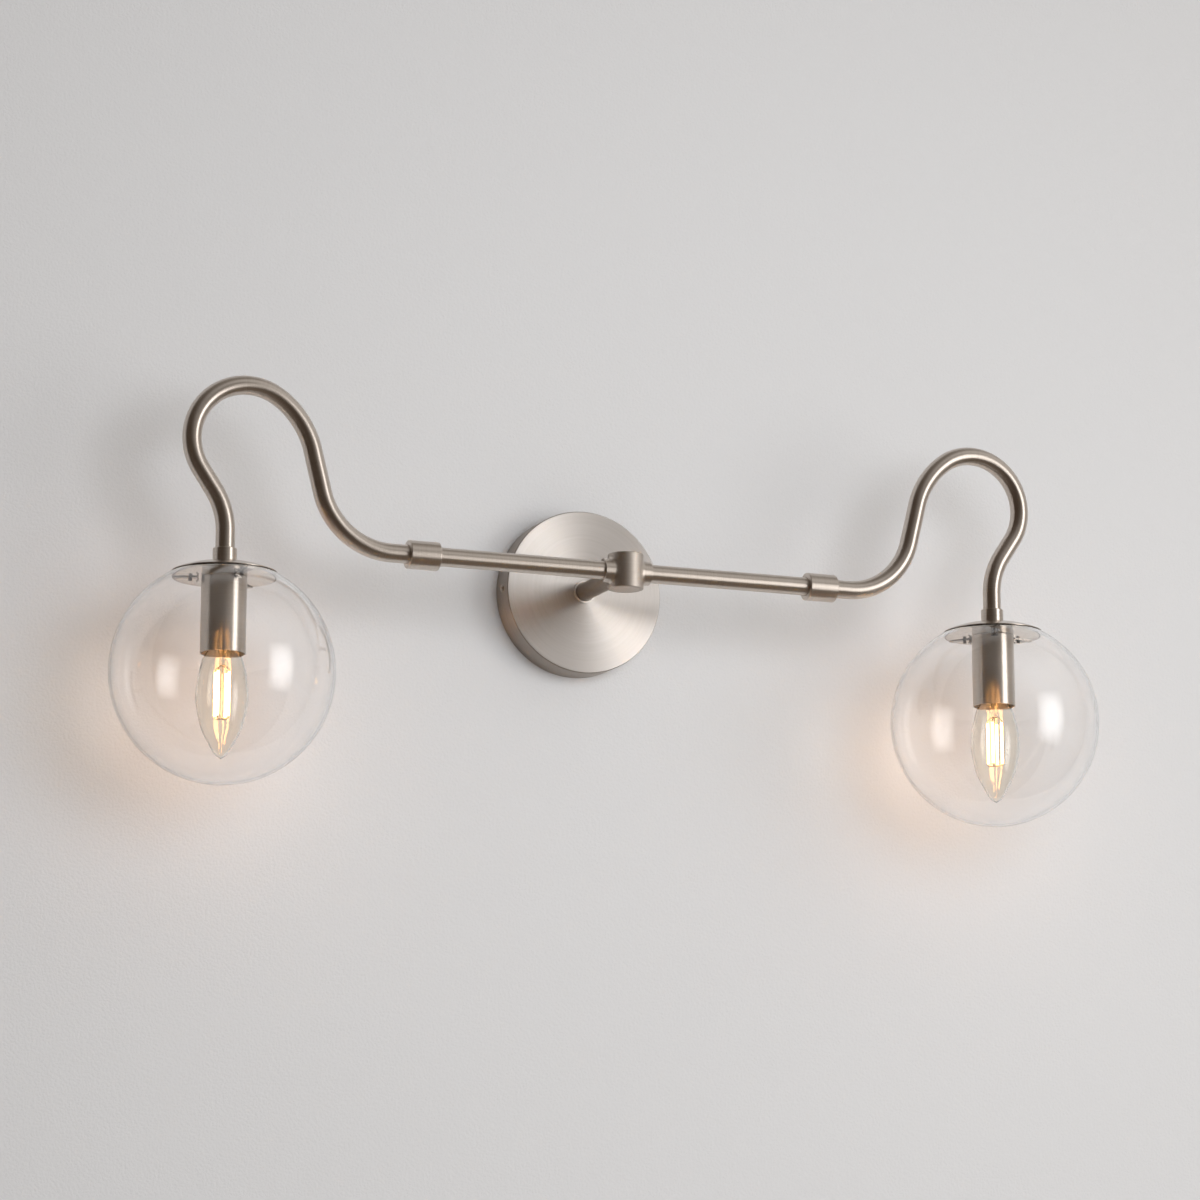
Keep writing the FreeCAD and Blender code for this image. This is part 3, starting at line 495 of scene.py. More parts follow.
def boss(way):
    """One boss, from its fillet on the barrel to the floor of the seat that takes the tube.

    A ring of radius w touches the barrel where the barrel's surface is sqrt(R^2 - q^2) from its
    axis, q = w x cos(angle) being the sideways part. The fillet is a quarter circle of radius f:
    w = boss radius + f(1 - sin t), lifted by f(1 - cos t), t from 0 to a quarter turn.
    """
    out, across, beside = PLANES[way]
    turns, steps = 96, 8
    t = np.linspace(0, math.pi / 2, steps)
    wide = BOSS_RADIUS + FILLET * (1 - np.sin(t))
    lift = FILLET * (1 - np.cos(t)) - SINK
    angle = np.linspace(0, TAU, turns, endpoint=False)
    sideways = wide[:, None] * np.cos(angle)[None, :]
    climb = np.sqrt(HUB_RADIUS ** 2 - sideways ** 2) + lift[:, None]
    foot = rings(np.repeat(hub_centre[None, :], steps, 0), wide, across, beside, turns,
                 climb[:, :, None] * out)
    floor_at = BOSS_REACH - SEAT
    # The last corner only sets how the first one is approached, and is left out again.
    end = rounded([(BOSS_RADIUS, BOSS_REACH, 0.7), (TUBE + GAP, BOSS_REACH, 0.25),
                   (TUBE + GAP, floor_at), (TUBE_BORE, floor_at), (TUBE_BORE, floor_at - 2)])[:-1]
    tip = rings(hub_centre + end[:, 1:2] * out, end[:, 0], across, beside, turns)
    return skin(np.concatenate([foot, tip]), False)


barrel = turned(barrel_line, hub_centre, "z", 128)
hub = place("hub_casting", [barrel, boss("x"), boss("-x"), boss("y")], "lamp", ["hub"],
            satin_hub)
hub.data.materials.append(satin)
on_boss = np.arange(len(hub.data.polygons)) >= len(barrel[1])
hub.data.polygons.foreach_set("material_index", on_boss.astype(np.int32))
print("hub faces:", len(on_boss), "of which on the bosses:", int(on_boss.sum()))

# %% [markdown]
# ## Swan necks
#
# Each neck is one tube, bent on a mandrel. Its bends are true arcs, so the centreline is walked: a
# run goes straight, and a turn of radius R about a centre R to one side moves the point round that
# centre by the angle. A curve object could carry the tube, but the walk gives exact arcs, and its
# rings are square to the line everywhere.

# %% Centreline of a neck
NECK_BEND_AT = 172.1   # where the first bend starts, from the hub's axis
NECK = [("turn", 51.0, 75.8), ("run", 28.7), ("turn", 59.2, -40.8), ("turn", 38.6, -159.0),
        ("run", 16.4), ("turn", 50.2, 34.0), ("run", 18.0)]   # turn: radius and degrees


def walk(start, steps):
    """The centreline in the lamp's plane: points (x, z) and headings, with a point every 2 degrees.

    On a turn, point = centre + side x R x (sin(heading), -cos(heading)), side being 1 for a turn
    to the left and -1 for one to the right.
    """
    at, heading = np.array(start, float), 0.0
    points, headings = [at.copy()], [0.0]
    for step in steps:
        if step[0] == "run":
            at = at + step[1] * np.array([math.cos(heading), math.sin(heading)])
            points.append(at.copy())
            headings.append(heading)
            continue
        radius, turn = step[1], math.radians(step[2])
        side = math.copysign(1, turn)
        centre = at + side * radius * np.array([-math.sin(heading), math.cos(heading)])
        swept = heading + np.linspace(0, turn, int(abs(step[2]) / 2) + 1)[1:]
        arc = centre + side * radius * np.stack([np.sin(swept), -np.cos(swept)], -1)
        points.extend(arc)
        headings.extend(swept)
        at, heading = arc[-1], heading + turn
    return np.array(points), np.array(headings)


neck_start = levels("right_swan_neck")[0][0]
neck_points, neck_headings = walk((neck_start, 0.0), [("run", NECK_BEND_AT - neck_start)] + NECK)
print("neck ends at x, z =", np.round(neck_points[-1], 2), "rows", len(neck_points))

# %% [markdown]
# ## Bar and couplings
#
# The bar is two straight tubes from the hub. A sleeve joins each to its neck. Inside the sleeve a
# narrow ring stops both tubes, so they can't be pushed in too far.

# %% Necks, bar and couplings
STOP_HALF = 1   # half the width of the ring inside a coupling

for side, sign in SIDES:
    way = "x" if sign > 0 else "-x"
    centres = np.stack([sign * neck_points[:, 0], np.full(len(neck_points), -REACH),
                        neck_points[:, 1]], -1)
    across = np.stack([-sign * np.sin(neck_headings), np.zeros(len(centres)),
                       np.cos(neck_headings)], -1)
    both = np.concatenate([centres, centres[::-1]])
    radii = np.concatenate([np.full(len(centres), TUBE), np.full(len(centres), TUBE_BORE)])
    neck = rings(both, radii, np.concatenate([across, across[::-1]]), Y, 64)
    place(f"{side}_neck_tube", [skin(neck, True)], "lamp", [f"{side}_swan_neck"],
          satin)

    bar_low, bar_high = levels(f"{side}_bar_tube")
    inner_end, outer_end = sorted([abs(bar_low[0]), abs(bar_high[0])])
    bar = rounded([(TUBE, inner_end, 0.2), (TUBE, outer_end, 0.2), (TUBE_BORE, outer_end),
                   (TUBE_BORE, inner_end)])
    place(f"{side}_bar", [turned(bar, (0, -REACH, 0), way, 64)], "lamp", [f"{side}_bar_tube"],
          satin)

    sleeve_low, sleeve_high = levels(f"{side}_coupling")
    near, far = sorted([abs(sleeve_low[0]), abs(sleeve_high[0])])
    wide, stop = sleeve_high[2], (near + far) / 2
    sleeve = rounded([(TUBE + GAP, near, 0.3), (wide, near, 0.9), (wide, far, 0.9),
                      (TUBE + GAP, far, 0.3), (TUBE + GAP, stop + STOP_HALF),
                      (TUBE_BORE, stop + STOP_HALF), (TUBE_BORE, stop - STOP_HALF),
                      (TUBE + GAP, stop - STOP_HALF)])
    place(f"{side}_sleeve", [turned(sleeve, (0, -REACH, 0), way, 96)], "lamp",
          [f"{side}_coupling"], satin)
    print(side, "bar from", round(inner_end, 2), "to", round(outer_end, 2), "coupling at",
          round(stop, 2))

# %% [markdown]
# ## Collar, cap, socket cover and holder
#
# Each neck drops into a collar that sits on a shallow spun dome. The dome is part of a sphere, flat
# where the collar sits. Where the spinning tool folded its rim, the upright edge is only half a
# millimetre high, which in the photo is a thin dark line over the glass. Under it hangs a plain
# tube of thin metal that hides the lampholder, and a polished plate that carries the clips.

# %% The stack under each neck
COLLAR_FLOOR = 3
CAP_FLAT, CAP_SHEET, CAP_EDGE = 9.0, 1.2, 0.55   # radius of the flat, sheet, height of the rim
COVER_WALL, COVER_TOP = 0.8, 1
LEAD_HOLE, HOLDER_MOUTH, HOLDER_BORE = 3.2, 9.4, 7.75   # radii inside the lampholder
HOLDER_ROOF = 15                                       # its solid top, above the bore


def dome_line(rim, low, high):
    """The outline of a cap whose box is given: radius of the rim, lowest and highest level.

    A sphere that passes the flat's edge and, the drop lower, the rim has its centre d under the
    flat, where d = (rim^2 - flat^2 + drop^2) / (2 drop), and its radius is the hypotenuse of d and
    the flat. So the height at radius r is high - d + sqrt(radius^2 - r^2).
    """
    drop = high - low - CAP_EDGE
    d = (rim ** 2 - CAP_FLAT ** 2 + drop ** 2) / (2 * drop)
    ball = math.hypot(d, CAP_FLAT)
    r = np.linspace(CAP_FLAT, rim - 0.2, 20)
    top = np.stack([r, high - d + np.sqrt(ball ** 2 - r ** 2)], -1)
    r = np.linspace(rim - 2.0, CAP_FLAT, 20)
    under = np.stack([r, high - d + np.sqrt((ball - CAP_SHEET) ** 2 - r ** 2)], -1)
    lip = rounded([(rim, high - drop, 0.2), (rim, low, 0.15), (rim - CAP_SHEET, low, 0.3)])
    return np.concatenate([[[ROD_HOLE, high]], top, lip, under, [[ROD_HOLE, high - CAP_SHEET]]])


for side, sign in SIDES:
    axis = np.array([sign * globe_axis_x, -REACH, 0.0])
    wide, low, high = radius_and_levels(f"{side}_collar")
    floor_at = low + COLLAR_FLOOR
    collar = rounded([(ROD_HOLE, low), (wide, low, 0.15), (wide, high, 0.55),
                      (TUBE + GAP, high, 0.2), (TUBE + GAP, floor_at), (ROD_HOLE, floor_at)])
    place(f"{side}_neck_collar", [turned(collar, axis)], "lamp", [f"{side}_collar"],
          satin)

    wide, low, high = radius_and_levels(f"{side}_cap")
    place(f"{side}_dome", [turned(dome_line(wide, low, high), axis, turns=192)], "lamp",
          [f"{side}_cap"], satin_cap)

    wide, low, high = radius_and_levels(f"{side}_socket_cover")
    inner_wide, inner_high = wide - COVER_WALL, high - COVER_TOP
    cover = rounded([(ROD_HOLE, high), (wide, high, 0.5), (wide, low, 0.25),
                     (inner_wide, low, 0.25), (inner_wide, inner_high, 0.4),
                     (ROD_HOLE, inner_high)])
    place(f"{side}_cover_tube", [turned(cover, axis, turns=128)], "lamp",
          [f"{side}_socket_cover"], satin)

    wide, low, high = radius_and_levels(f"{side}_holder_plate")
    disc = rounded([(ROD_HOLE, low), (wide, low, 0.4), (wide, high, 0.4), (ROD_HOLE, high)])
    place(f"{side}_plate_disc", [turned(disc, axis, turns=128)], "lamp",
          [f"{side}_holder_plate"], polished)

    wide, low, high = radius_and_levels(f"{side}_lampholder")
    bore_top = high - HOLDER_ROOF
    holder = rounded([(LEAD_HOLE, high), (wide, high, 1.5), (wide, low, 1.0),
                      (HOLDER_MOUTH, low, 0.5), (HOLDER_BORE, low + 1.6, 0.4),
                      (HOLDER_BORE, bore_top), (LEAD_HOLE, bore_top)])
    place(f"{side}_holder_body", [turned(holder, axis)], "lamp", [f"{side}_lampholder"],
          porcelain)
    print(side, "stack on x =", round(axis[0], 2), "from", round(high, 2), "to", round(low, 2))

# %% [markdown]
# ## Globes
#
# A clear ball blown in a mould, with a ground and fire-polished mouth at the top. The wall is an
# outer and an inner sphere, because clear glass looks right only with both of its surfaces, and at
# the mouth one curve joins them.

# %% Globes
GLASS, MOUTH, MOUTH_EDGE = 2.0, 34.7, 0.4   # wall, radius of the mouth, depth of its round edge


def globe_line(ball, centre_z):
    """The outline of a globe with an open mouth: outside, rounded edge, inside.

    Each sphere is (R sin a, centre - R cos a), the angle a running from the bottom to the mouth.
    The edge is (1-t)^2 start + 2t(1-t) corner + t^2 end.
    """
    inner_ball = ball - GLASS
    to_mouth = np.linspace(0, math.pi - math.asin((MOUTH + MOUTH_EDGE) / ball), 110)
    back = np.linspace(math.pi - math.asin((MOUTH + MOUTH_EDGE) / inner_ball), 0, 110)
    outside = np.stack([ball * np.sin(to_mouth), centre_z - ball * np.cos(to_mouth)], -1)
    inside = np.stack([inner_ball * np.sin(back), centre_z - inner_ball * np.cos(back)], -1)
    t = np.linspace(0, 1, 7)[1:-1, None]
    corner = np.array([MOUTH - MOUTH_EDGE, (outside[-1][1] + inside[0][1]) / 2])
    edge = (1 - t) ** 2 * outside[-1] + 2 * t * (1 - t) * corner + t ** 2 * inside[0]
    line = np.concatenate([outside, edge, inside])
    line[0, 0] = line[-1, 0] = 0.0
    return line


for side, sign in SIDES:
    low, high = levels(f"{side}_globe")
    ball = (high[1] - low[1]) / 2
    shell = turned(globe_line(ball, low[2] + ball), (sign * globe_axis_x, -REACH, 0), turns=160,
                   closed=False)
    place(f"{side}_blown_globe", [shell], f"{side}_shade", [f"{side}_globe"],
          globe_glass)
    print(side, "globe radius", round(ball, 2), "points", len(shell[0]))

# %% [markdown]
# ## Bulb envelope
#
# The envelope is drawn from glass tube, so its outline is one smooth line from the tip to the neck.
# A curve through a few measured points gives it, with less work than a spline set by hand. It is
# kept a true shell, because a solid candle of glass would act as a lens.

# %% Outline of the envelope
def smooth(points, steps=8):
    """A smooth curve through the points.

    From b to c, with a before and d after them, t running from 0 to 1, it is half of
    2b + (c - a) t + (2a - 5b + 4c - d) t^2 + (3b - a - 3c + d) t^3.
    """
    p = np.array(points, float)
    p = np.concatenate([[2 * p[0] - p[1]], p, [2 * p[-1] - p[-2]]])
    t = np.linspace(0, 1, steps, endpoint=False)[:, None]
    parts = []
    for a, b, c, d in zip(p, p[1:], p[2:], p[3:]):
        parts.append(0.5 * (2 * b + (c - a) * t + (2 * a - 5 * b + 4 * c - d) * t ** 2
                            + (3 * b - a - 3 * c + d) * t ** 3))
    return np.concatenate(parts + [p[-2:-1]])


WIDEST, WIDEST_AT, NECK_RADIUS, NECK_AT = 17.5, 43.2, 6.3, 79.0   # heights from the tip
BULB_GLASS, TIP_GLASS, NECK_RUN = 0.9, 0.95, 3
FLANK = [(0.0, 0.0), (0.23, 0.06), (0.46, 0.21), (0.78, 0.47), (0.965, 0.79), (1.0, 1.0)]
SHOULDER = [(0.94, 0.30), (0.79, 0.61), (0.67, 0.74), (0.42, 0.94)]
flank = [(WIDEST * r, WIDEST_AT * h) for r, h in FLANK]
shoulder = [(WIDEST * r, WIDEST_AT + (NECK_AT - WIDEST_AT) * h) for r, h in SHOULDER]
profile = smooth(flank + shoulder + [(NECK_RADIUS, NECK_AT), (NECK_RADIUS, NECK_AT + NECK_RUN)])
slope = np.gradient(profile, axis=0)
slope /= np.linalg.norm(slope, axis=1)[:, None]
inner = profile - BULB_GLASS * np.stack([slope[:, 1], -slope[:, 0]], -1)
inner[:, 0] = np.maximum(inner[:, 0], 0.0)
inner[0] = (0.0, TIP_GLASS)
envelope_line = np.concatenate([profile, inner[::-1]])
print("bulb outline points:", len(profile), "widest", round(float(profile[:, 0].max()), 2))

# %% [markdown]
# ## Filament sticks and wires
#
# Four upright sticks stand in a square. At the head a bent wire carries each from the glass mount,
# and at the foot a short one joins it to a wire down the middle. Wires are thin tubes along smooth
# curves.

# %% Sticks and wires
STICK, STICK_OUT, STICK_EDGE, WIRE = 0.9, 5.2, 0.5, 0.35   # radii, and the square's half diagonal
HOOK = [(STICK_OUT, -0.5), (STICK_OUT, 1.4), (3.4, 3.0), (0.6, 4.2)]     # out, above the head
SPOKE = [(STICK_OUT, 0.5), (STICK_OUT, -1.0), (4.4, -1.75), (0.1, -1.8)]  # out, above the foot
SPINE = (-1.8, 4.0)                                                      # below foot, above head


def wire(points, radius, turns=12):
    """A wire along points that lie in one upright plane through the bulb's axis.

    The rings of the tube stand on the line's own direction, with one of their axes square to the
    plane, so they never twist. At each end a ring of no radius closes the tube.
    """
    p = np.array(points, float)
    along = np.gradient(p, axis=0)
    along /= np.linalg.norm(along, axis=1)[:, None]
    flat = p - p.mean(axis=0)
    beside = np.linalg.svd(flat)[2][-1]
    if np.linalg.matrix_rank(flat, 1e-6) < 2:
        beside = np.cross(along[0], X if abs(along[0][0]) < 0.9 else Y)
        beside /= np.linalg.norm(beside)
    radii = np.full(len(p), float(radius))
    p = np.concatenate([p[:1], p, p[-1:]])
    along = np.concatenate([along[:1], along, along[-1:]])
    radii = np.concatenate([[0.0], radii, [0.0]])
    return skin(rings(p, radii, np.cross(along, beside), beside, turns), False)


def filament_set(centre, foot, head):
    """The skins of the four sticks and of all their wires, between the levels foot and head."""
    stick = rounded([(0.0, foot), (STICK, foot, STICK_EDGE), (STICK, head, STICK_EDGE),
                     (0.0, head)])
    sticks, wires = [], []
    for k in range(4):
        turn = math.radians(45 + 90 * k)
        out = np.array([math.cos(turn), math.sin(turn), 0.0])
        sticks.append(turned(stick, centre + STICK_OUT * out, turns=20, closed=False))
        for shape, level in ((HOOK, head), (SPOKE, foot)):
            line = smooth([centre + r * out + Z * (level + h) for r, h in shape], 5)
            wires.append(wire(line, WIRE))
    wires.append(wire([centre + Z * (foot + SPINE[0]), centre + Z * 0.5 * (foot + head),
                       centre + Z * (head + SPINE[1])], WIRE))
    return sticks, wires


print("sticks of radius", STICK, "stand", STICK_OUT, "from the axis, wires of radius", WIRE)

# %% [markdown]
# ## Screw cap
#
# The cap is one rolled strip of aluminium, so its thread is in the sheet itself, and shows as soft
# waves. A wave that climbs as it goes round is all that a thread is.

# %% Screw cap of a bulb
THREAD_PITCH, THREAD_MEAN, THREAD_WAVE = 2.82, 6.55, 0.25
CAP_TURNS, CAP_ROWS = 96, 60


def screw_cap(centre, low, high):
    """The skin of a bulb's cap between two levels.

    Thread: radius = mean + wave x fade x cos(full turn x height / pitch - angle). The fade goes
    from 0 to 1 over the first millimetre at each end, where a rolled thread runs out.
    """
    height = np.linspace(low + 3.6, high - 1.2, CAP_ROWS)
    angle = np.linspace(0, TAU, CAP_TURNS, endpoint=False)
    fade = np.clip(np.minimum(height - height[0], height[-1] - height) / 1.0, 0, 1)
    wave = np.cos(TAU * height[:, None] / THREAD_PITCH - angle[None, :])
    thread = THREAD_MEAN + THREAD_WAVE * fade[:, None] * wave
    skirt = rounded([(7.05, low, 0.15), (7.05, low + 3.0, 0.3)])
    start = np.concatenate([[(6.4, low)], skirt[:-1]])
    end = np.array([(6.2, high - 0.5), (5.6, high), (3.6, high), (3.6, high - 0.4),
                    (5.4, high - 0.4), (6.0, high - 1.4), (6.0, low)])
    heights = np.concatenate([start[:, 1], height, end[:, 1]])
    radii = np.concatenate([np.repeat(start[:, :1], CAP_TURNS, 1), thread,
                            np.repeat(end[:, :1], CAP_TURNS, 1)])
    return skin(rings(centre + heights[:, None] * Z, radii, X, Y, CAP_TURNS), True)


print("thread pitch", THREAD_PITCH, "mm")

# %% [markdown]
# ## The two bulbs
#
# Each bulb is its own body, because it screws out of the lamp. The sticks shine at the camera and
# in the metal, but not on matt surfaces: so small and so bright, they would throw hard spots on the
# wall that the photo doesn't have. A small lamp in each globe, further on, gives that light
# instead.

# %% Bulbs
MOUNT = [(0.0, 61.5), (1.6, 61.8), (2.2, 63.5), (2.2, 70.0), (2.6, 74.5), (4.9, NECK_AT)]

mount_line = np.concatenate([smooth(MOUNT, 6), [[0.0, NECK_AT]]])
for side, sign in SIDES:
    body = f"{side}_lamp_bulb"
    centre = np.array([sign * globe_axis_x, -REACH, 0.0])
    tip = centre + Z * levels(f"{side}_bulb_glass")[0][2]
    place(f"{side}_envelope", [turned(envelope_line, tip, turns=96, closed=False)], body,
          [f"{side}_bulb_glass"], envelope_glass)
    place(f"{side}_glass_mount", [turned(mount_line, tip, turns=48, closed=False)], body,
          [f"{side}_bulb_mount"], envelope_glass)

    low, high = levels(f"{side}_filaments")
    sticks, wires = filament_set(centre, low[2], high[2])
    glow = place(f"{side}_sticks", sticks, body, [f"{side}_filaments"], filament_glow)
    glow.visible_diffuse = False
    place(f"{side}_support_wires", wires, body, [f"{side}_bulb_wires"], wire_metal)

    low, high = levels(f"{side}_bulb_cap")
    place(f"{side}_screw_cap", [screw_cap(centre, low[2], high[2])], body, [f"{side}_bulb_cap"],
          bulb_metal)
    print(side, "bulb tip at z =", round(tip[2], 2), "sticks", len(sticks), "wires", len(wires))

# %% [markdown]
# ## The pieces that stay as they are
#
# The fixings, rods, contacts and leads are already the right shape. Each one gets the finish of the
# real piece on its own mesh.

# %% Finishes for the kept nodes
KEPT = [
    (satin_even, ["hub_plug"]),
    (satin_screw, ["left_side_screw", "right_side_screw"]),
    (spring_steel, ["left_clips", "right_clips"]),
    (dark_steel, ["left_clip_screws", "right_clip_screws"]),
    (zinc, ["mounting_plate", "stem_rod", "stem_washer", "stem_nut", "side_nuts", "spacers",
            "socket_rods", "lock_nuts"]),
    (brass, ["earth_screw", "left_holder_shell", "right_holder_shell", "left_bulb_pip",
             "left_holder_contact", "right_holder_contact", "right_bulb_pip"]),
    (vitrite, ["left_bulb_insulator", "right_bulb_insulator"]),
    (sheath, ["left_lead", "right_lead"]),
    (moulded, ["terminal_block"]),
]
for finish, names in KEPT:
    for name in names:
        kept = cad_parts[name]
        kept.data.materials.clear()
        kept.data.materials.append(finish)
print("kept nodes:", sum(len(names) for finish, names in KEPT))

# %% [markdown]
# ## Painted wall
#
# The lamp hangs on a wall with the faint orange-peel of a roller. The paint is quite matt, so the
# wall has no sheen that moves with the view. Seen from behind, the sheet isn't there, which shows
# the back of the lamp. A round patch behind the canopy also lets light through to the fixings. The
# camera still sees paint there from the front, when the canopy is pulled off the wall.

# %% Wall and floor
WINDOW = 0.058   # radius of the patch, in metres, just inside the canopy's rim


def painted_wall(name, colour):
    """Matt paint put on with a roller.

    It is clear where sqrt(x^2 + z^2) < WINDOW and the ray isn't the camera's own, and on its back.
    """
    made, tree, out = new_material(name)
    place_in = node(tree, "ShaderNodeTexCoord")
    peel = streaks(tree, place_in.outputs["Object"], 1.9, 1.9, 1.0)
    bump = node(tree, "ShaderNodeBump", {"Height": peel.outputs[0], "Strength": 0.6,
                                         "Distance": 0.0006})
    paint = node(tree, "ShaderNodeBsdfPrincipled", {
        "Base Color": linear(colour), "Roughness": 0.9, "Specular IOR Level": 0.0,
        "Normal": bump.outputs[0]})
    clear = node(tree, "ShaderNodeBsdfTransparent")
    face = node(tree, "ShaderNodeNewGeometry")
    flat = node(tree, "ShaderNodeVectorMath", {0: place_in.outputs["Object"], 1: (1.0, 0.0, 1.0)},
                operation="MULTIPLY")
    radius = node(tree, "ShaderNodeVectorMath", {0: flat.outputs[0]}, operation="LENGTH")
    inside = node(tree, "ShaderNodeMath", {0: radius.outputs["Value"], 1: WINDOW},
                  operation="LESS_THAN")
    ray = node(tree, "ShaderNodeLightPath")
    other = node(tree, "ShaderNodeMath", {0: inside.outputs[0], 1: ray.outputs["Is Camera Ray"]},
                 operation="SUBTRACT")
    open_to = node(tree, "ShaderNodeMath", {0: other.outputs[0], 1: face.outputs["Backfacing"]},
                   operation="MAXIMUM")
    mix = node(tree, "ShaderNodeMixShader", {0: open_to.outputs[0], 1: paint.outputs[0],
                                             2: clear.outputs[0]})
    tree.links.new(mix.outputs[0], out.inputs[0])
    return made


def sheet_of(name, corners, material):
    """A flat four-cornered stage piece."""
    mesh = bpy.data.meshes.new(name)
    mesh.from_pydata(corners, [], [(0, 1, 2, 3)])
    mesh.materials.append(material)
    made = bpy.data.objects.new(name, mesh)
    bpy.context.scene.collection.objects.link(made)
    return made


SIDE_REACH, FLOOR_Z, WALL_TOP = 6, -1.3, 3   # metres
wall_paint = painted_wall("pale_wall_paint", "DEDDDC")
wall_y = levels("mounting_plate")[1][1] * MM + 0.0004
sheet_of("wall", [(-SIDE_REACH, wall_y, FLOOR_Z), (SIDE_REACH, wall_y, FLOOR_Z),
                  (SIDE_REACH, wall_y, WALL_TOP), (-SIDE_REACH, wall_y, WALL_TOP)], wall_paint)
floor = sheet_of("floor", [(-SIDE_REACH, -SIDE_REACH, FLOOR_Z), (SIDE_REACH, -SIDE_REACH, FLOOR_Z),
                           (SIDE_REACH, wall_y, FLOOR_Z), (-SIDE_REACH, wall_y, FLOOR_Z)],
                 wall_paint)
floor.visible_glossy = False
print("wall at y =", round(wall_y / MM, 2), "mm")

# %% [markdown]
# ## Lamps
#
# One tall soft box at the front right does the modelling: each globe shows it twice, upright on the
# near surface and upside down on the far one, and every tube has its bright band from it. A fill
# from the front lights the wall and shows in no metal or glass.
#
# A small warm lamp stands in each globe, between the bulb and the wall, and gives the glow that
# spreads on the wall round the globe. A weak soft box behind the wall lights only the fixings
# inside the canopy, so that they aren't black from behind.

# %% Lamps
def lamp(name, kind, place_at, power, colour, seen, **settings):
    """One lamp. Settings go to its data. An unseen one shows in no reflection or glass."""
    data = bpy.data.lights.new(name, kind)
    data.energy, data.color = power, linear(colour)[:3]
    for key, value in settings.items():
        setattr(data, key, value)
    made = bpy.data.objects.new(name, data)
    made.location = place_at
    made.visible_glossy = made.visible_transmission = seen
    bpy.context.scene.collection.objects.link(made)
    return made


def soft_box(name, place_at, look_at, width, height, power, seen, colour="FFFFFF"):
    """A rectangular lamp turned to a point. Its face fades towards the edges like real cloth.

    Across the face, each of the two directions dims by 4t(1 - t), t running from edge to edge.
    """
    made = lamp(name, "AREA", place_at, power, colour, seen, shape="RECTANGLE", size=width,
                size_y=height)
    way = np.array(look_at) - np.array(place_at)
    made.rotation_euler = (math.pi / 2 + math.atan2(way[2], math.hypot(way[0], way[1])), 0,
                           math.atan2(-way[0], way[1]))
    made.data.use_nodes = True
    tree = made.data.node_tree
    face = node(tree, "ShaderNodeNewGeometry")
    split = node(tree, "ShaderNodeSeparateXYZ", {0: face.outputs["Parametric"]})
    fades = []
    for t in (split.outputs[0], split.outputs[1]):
        rest = node(tree, "ShaderNodeMath", {0: 1.0, 1: t}, operation="SUBTRACT")
        both = node(tree, "ShaderNodeMath", {0: t, 1: rest.outputs[0]}, operation="MULTIPLY")
        fades.append(node(tree, "ShaderNodeMath", {0: both.outputs[0], 1: 4.0},
                          operation="MULTIPLY"))
    fade = node(tree, "ShaderNodeMath", {0: fades[0].outputs[0], 1: fades[1].outputs[0]},
                operation="MULTIPLY")
    tree.links.new(fade.outputs[0], tree.nodes["Emission"].inputs["Strength"])
    return made


MIDDLE = (0.0, -0.1, -0.05)   # of the lamp, in metres
GLOW_X = 0.288405             # the globes' axis, in metres
soft_box("key_box", (1.58, -1.89, -0.06), MIDDLE, width=1.45, height=2.1, power=43.0, seen=True)
soft_box("front_fill", (0.1, -1.6, 0.1), MIDDLE, width=1.0, height=0.9, power=24.0, seen=False,
         colour="F3F8FF")
for side, sign in SIDES:
    lamp(f"{side}_bulb_glow", "POINT", (sign * GLOW_X, -0.06, -0.104), power=0.16,
         colour="FFD2B4", seen=False, shadow_soft_size=0.012)
behind = soft_box("light_behind", (0.0, wall_y + 0.5, 0.0), (0.0, 0.0, 0.0), width=0.5,
                  height=0.5, power=0.5, seen=True)
behind.visible_camera = False
print("lamps:", len(bpy.data.lights))

# %% [markdown]
# ## Room
#
# Satin metal shows its room. This one is dim and warm, which is what makes the metal look like
# metal: dark at the left, pale at the right and high on the right, grey overhead, brown below. The
# camera sees none of it. To the camera, and through clear glass, the world has the wall's pale
# colour, which it shows to a ray that hasn't bounced off a shiny or a matt surface yet: the sum of
# those two counts is then 0.

# %% Room
world = bpy.data.worlds.new("room")
world.use_nodes = True
tree = world.node_tree
look = node(tree, "ShaderNodeTexCoord")
split = node(tree, "ShaderNodeSeparateXYZ", {0: look.outputs["Generated"]})


def ramp(axis, start, end):
    """0 to 1, eased at both ends, as a direction's axis (0 is x, 2 is z) goes from start to end."""
    made = node(tree, "ShaderNodeMapRange", {"Value": split.outputs[axis], "From Min": start,
                                             "From Max": end}, interpolation_type="SMOOTHSTEP")
    return made.outputs[0]


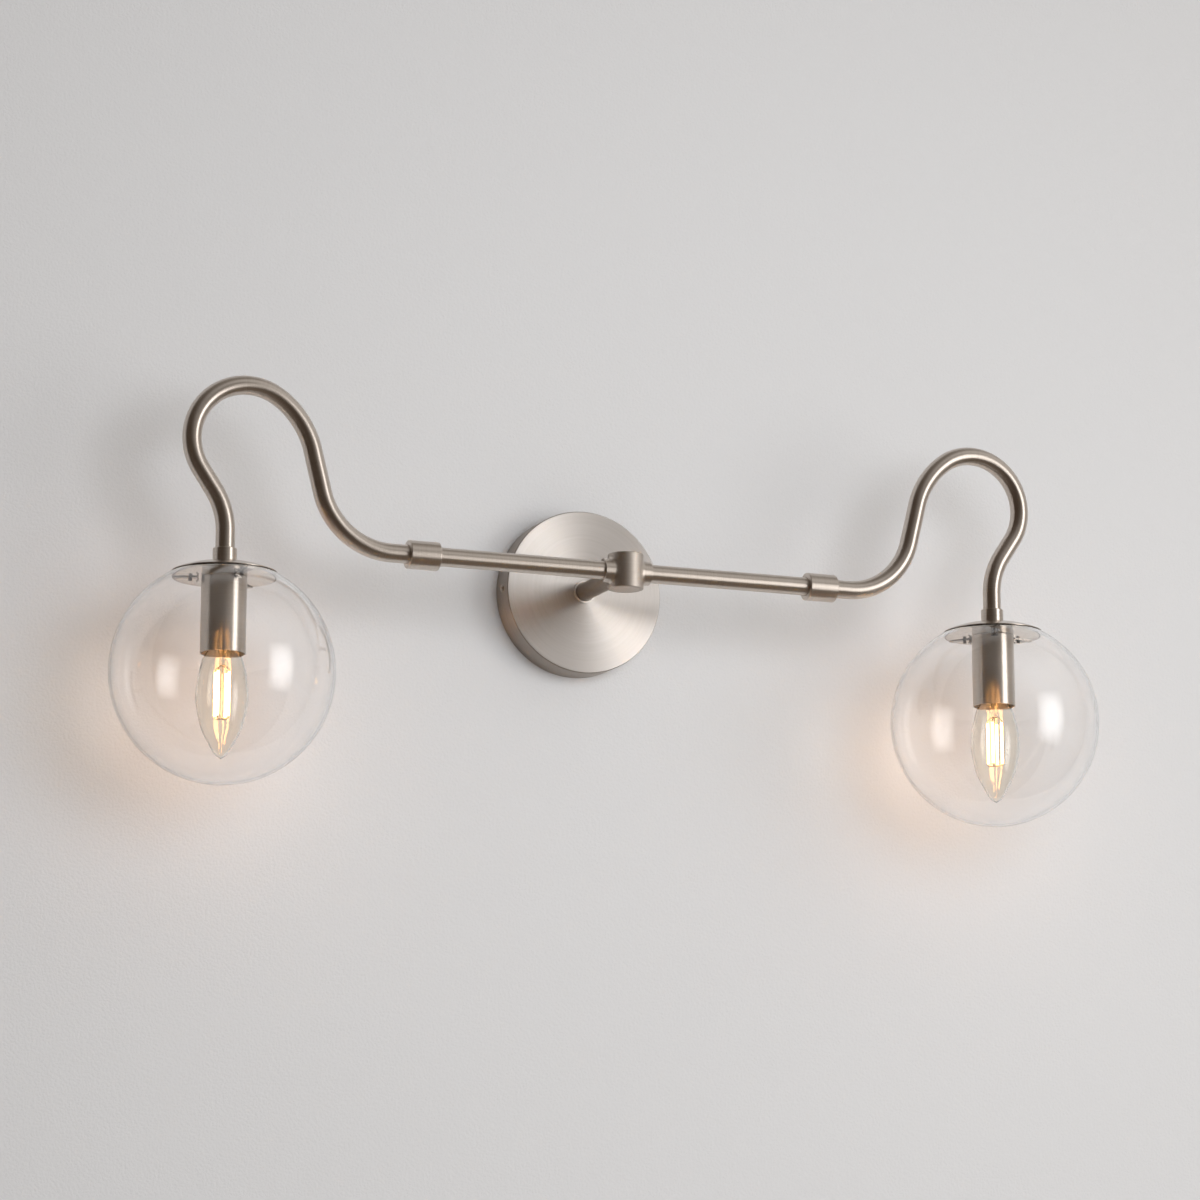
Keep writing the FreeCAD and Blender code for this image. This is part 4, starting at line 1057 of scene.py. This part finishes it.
def part_of_room(before, axis, start, end, colour, keep=None):
    """Blends a colour in along a ramp, or along the ramp times keep."""
    level = ramp(axis, start, end)
    if keep is not None:
        level = node(tree, "ShaderNodeMath", {0: level, 1: keep}, operation="MULTIPLY").outputs[0]
    mix = node(tree, "ShaderNodeMix", data_type="RGBA")
    tree.links.new(level, mix.inputs[0])
    if isinstance(before, str):
        mix.inputs[6].default_value = linear(before)
    else:
        tree.links.new(before, mix.inputs[6])
    mix.inputs[7].default_value = linear(colour)
    return mix.outputs[2]


above_floor = ramp(2, -0.95, -0.15)
to_the_right = ramp(0, -0.55, 0.4)
room = part_of_room("493E35", 0, -0.1, 0.75, "BDB6AF", above_floor)
room = part_of_room(room, 2, 0.12, 0.7, "E6E3E0", to_the_right)
room = part_of_room(room, 2, 0.7, 1.0, "8F877F")
room = part_of_room(room, 2, -0.25, -0.8, "75695F")
path = node(tree, "ShaderNodeLightPath")
seen = node(tree, "ShaderNodeMix", data_type="RGBA")
bounces = node(tree, "ShaderNodeMath", {0: path.outputs["Glossy Depth"],
                                        1: path.outputs["Diffuse Depth"]}, operation="ADD")
unbounced = node(tree, "ShaderNodeMath", {0: bounces.outputs[0], 1: 0.5}, operation="LESS_THAN")
tree.links.new(unbounced.outputs[0], seen.inputs[0])
tree.links.new(room, seen.inputs[6])
seen.inputs[7].default_value = linear("D9D8D6")
tree.links.new(seen.outputs[2], tree.nodes["Background"].inputs[0])
bpy.context.scene.world = world
bpy.context.scene.view_settings.view_transform = "Standard"
print("world nodes:", len(tree.nodes))

# %% [markdown]
# ## Camera
#
# The camera was fitted to points measured in the photo. It stands low and to the left, looks 22
# degrees to the right and 11 degrees up, and has a long lens.

# %% Camera
camera_data = bpy.data.cameras.new("camera")
camera_data.sensor_width, camera_data.lens = 36.0, 102.17
camera_data.clip_start, camera_data.clip_end = 0.05, 50.0
camera = bpy.data.objects.new("camera", camera_data)
camera.location = (-0.88748, -2.24984, -0.47526)
camera.rotation_euler = (math.radians(90 + 11.078), 0, math.radians(-21.9916))
bpy.context.scene.collection.objects.link(camera)
bpy.context.scene.camera = camera
print("camera", round(math.dist(camera.location, MIDDLE), 2), "m from the lamp's middle")
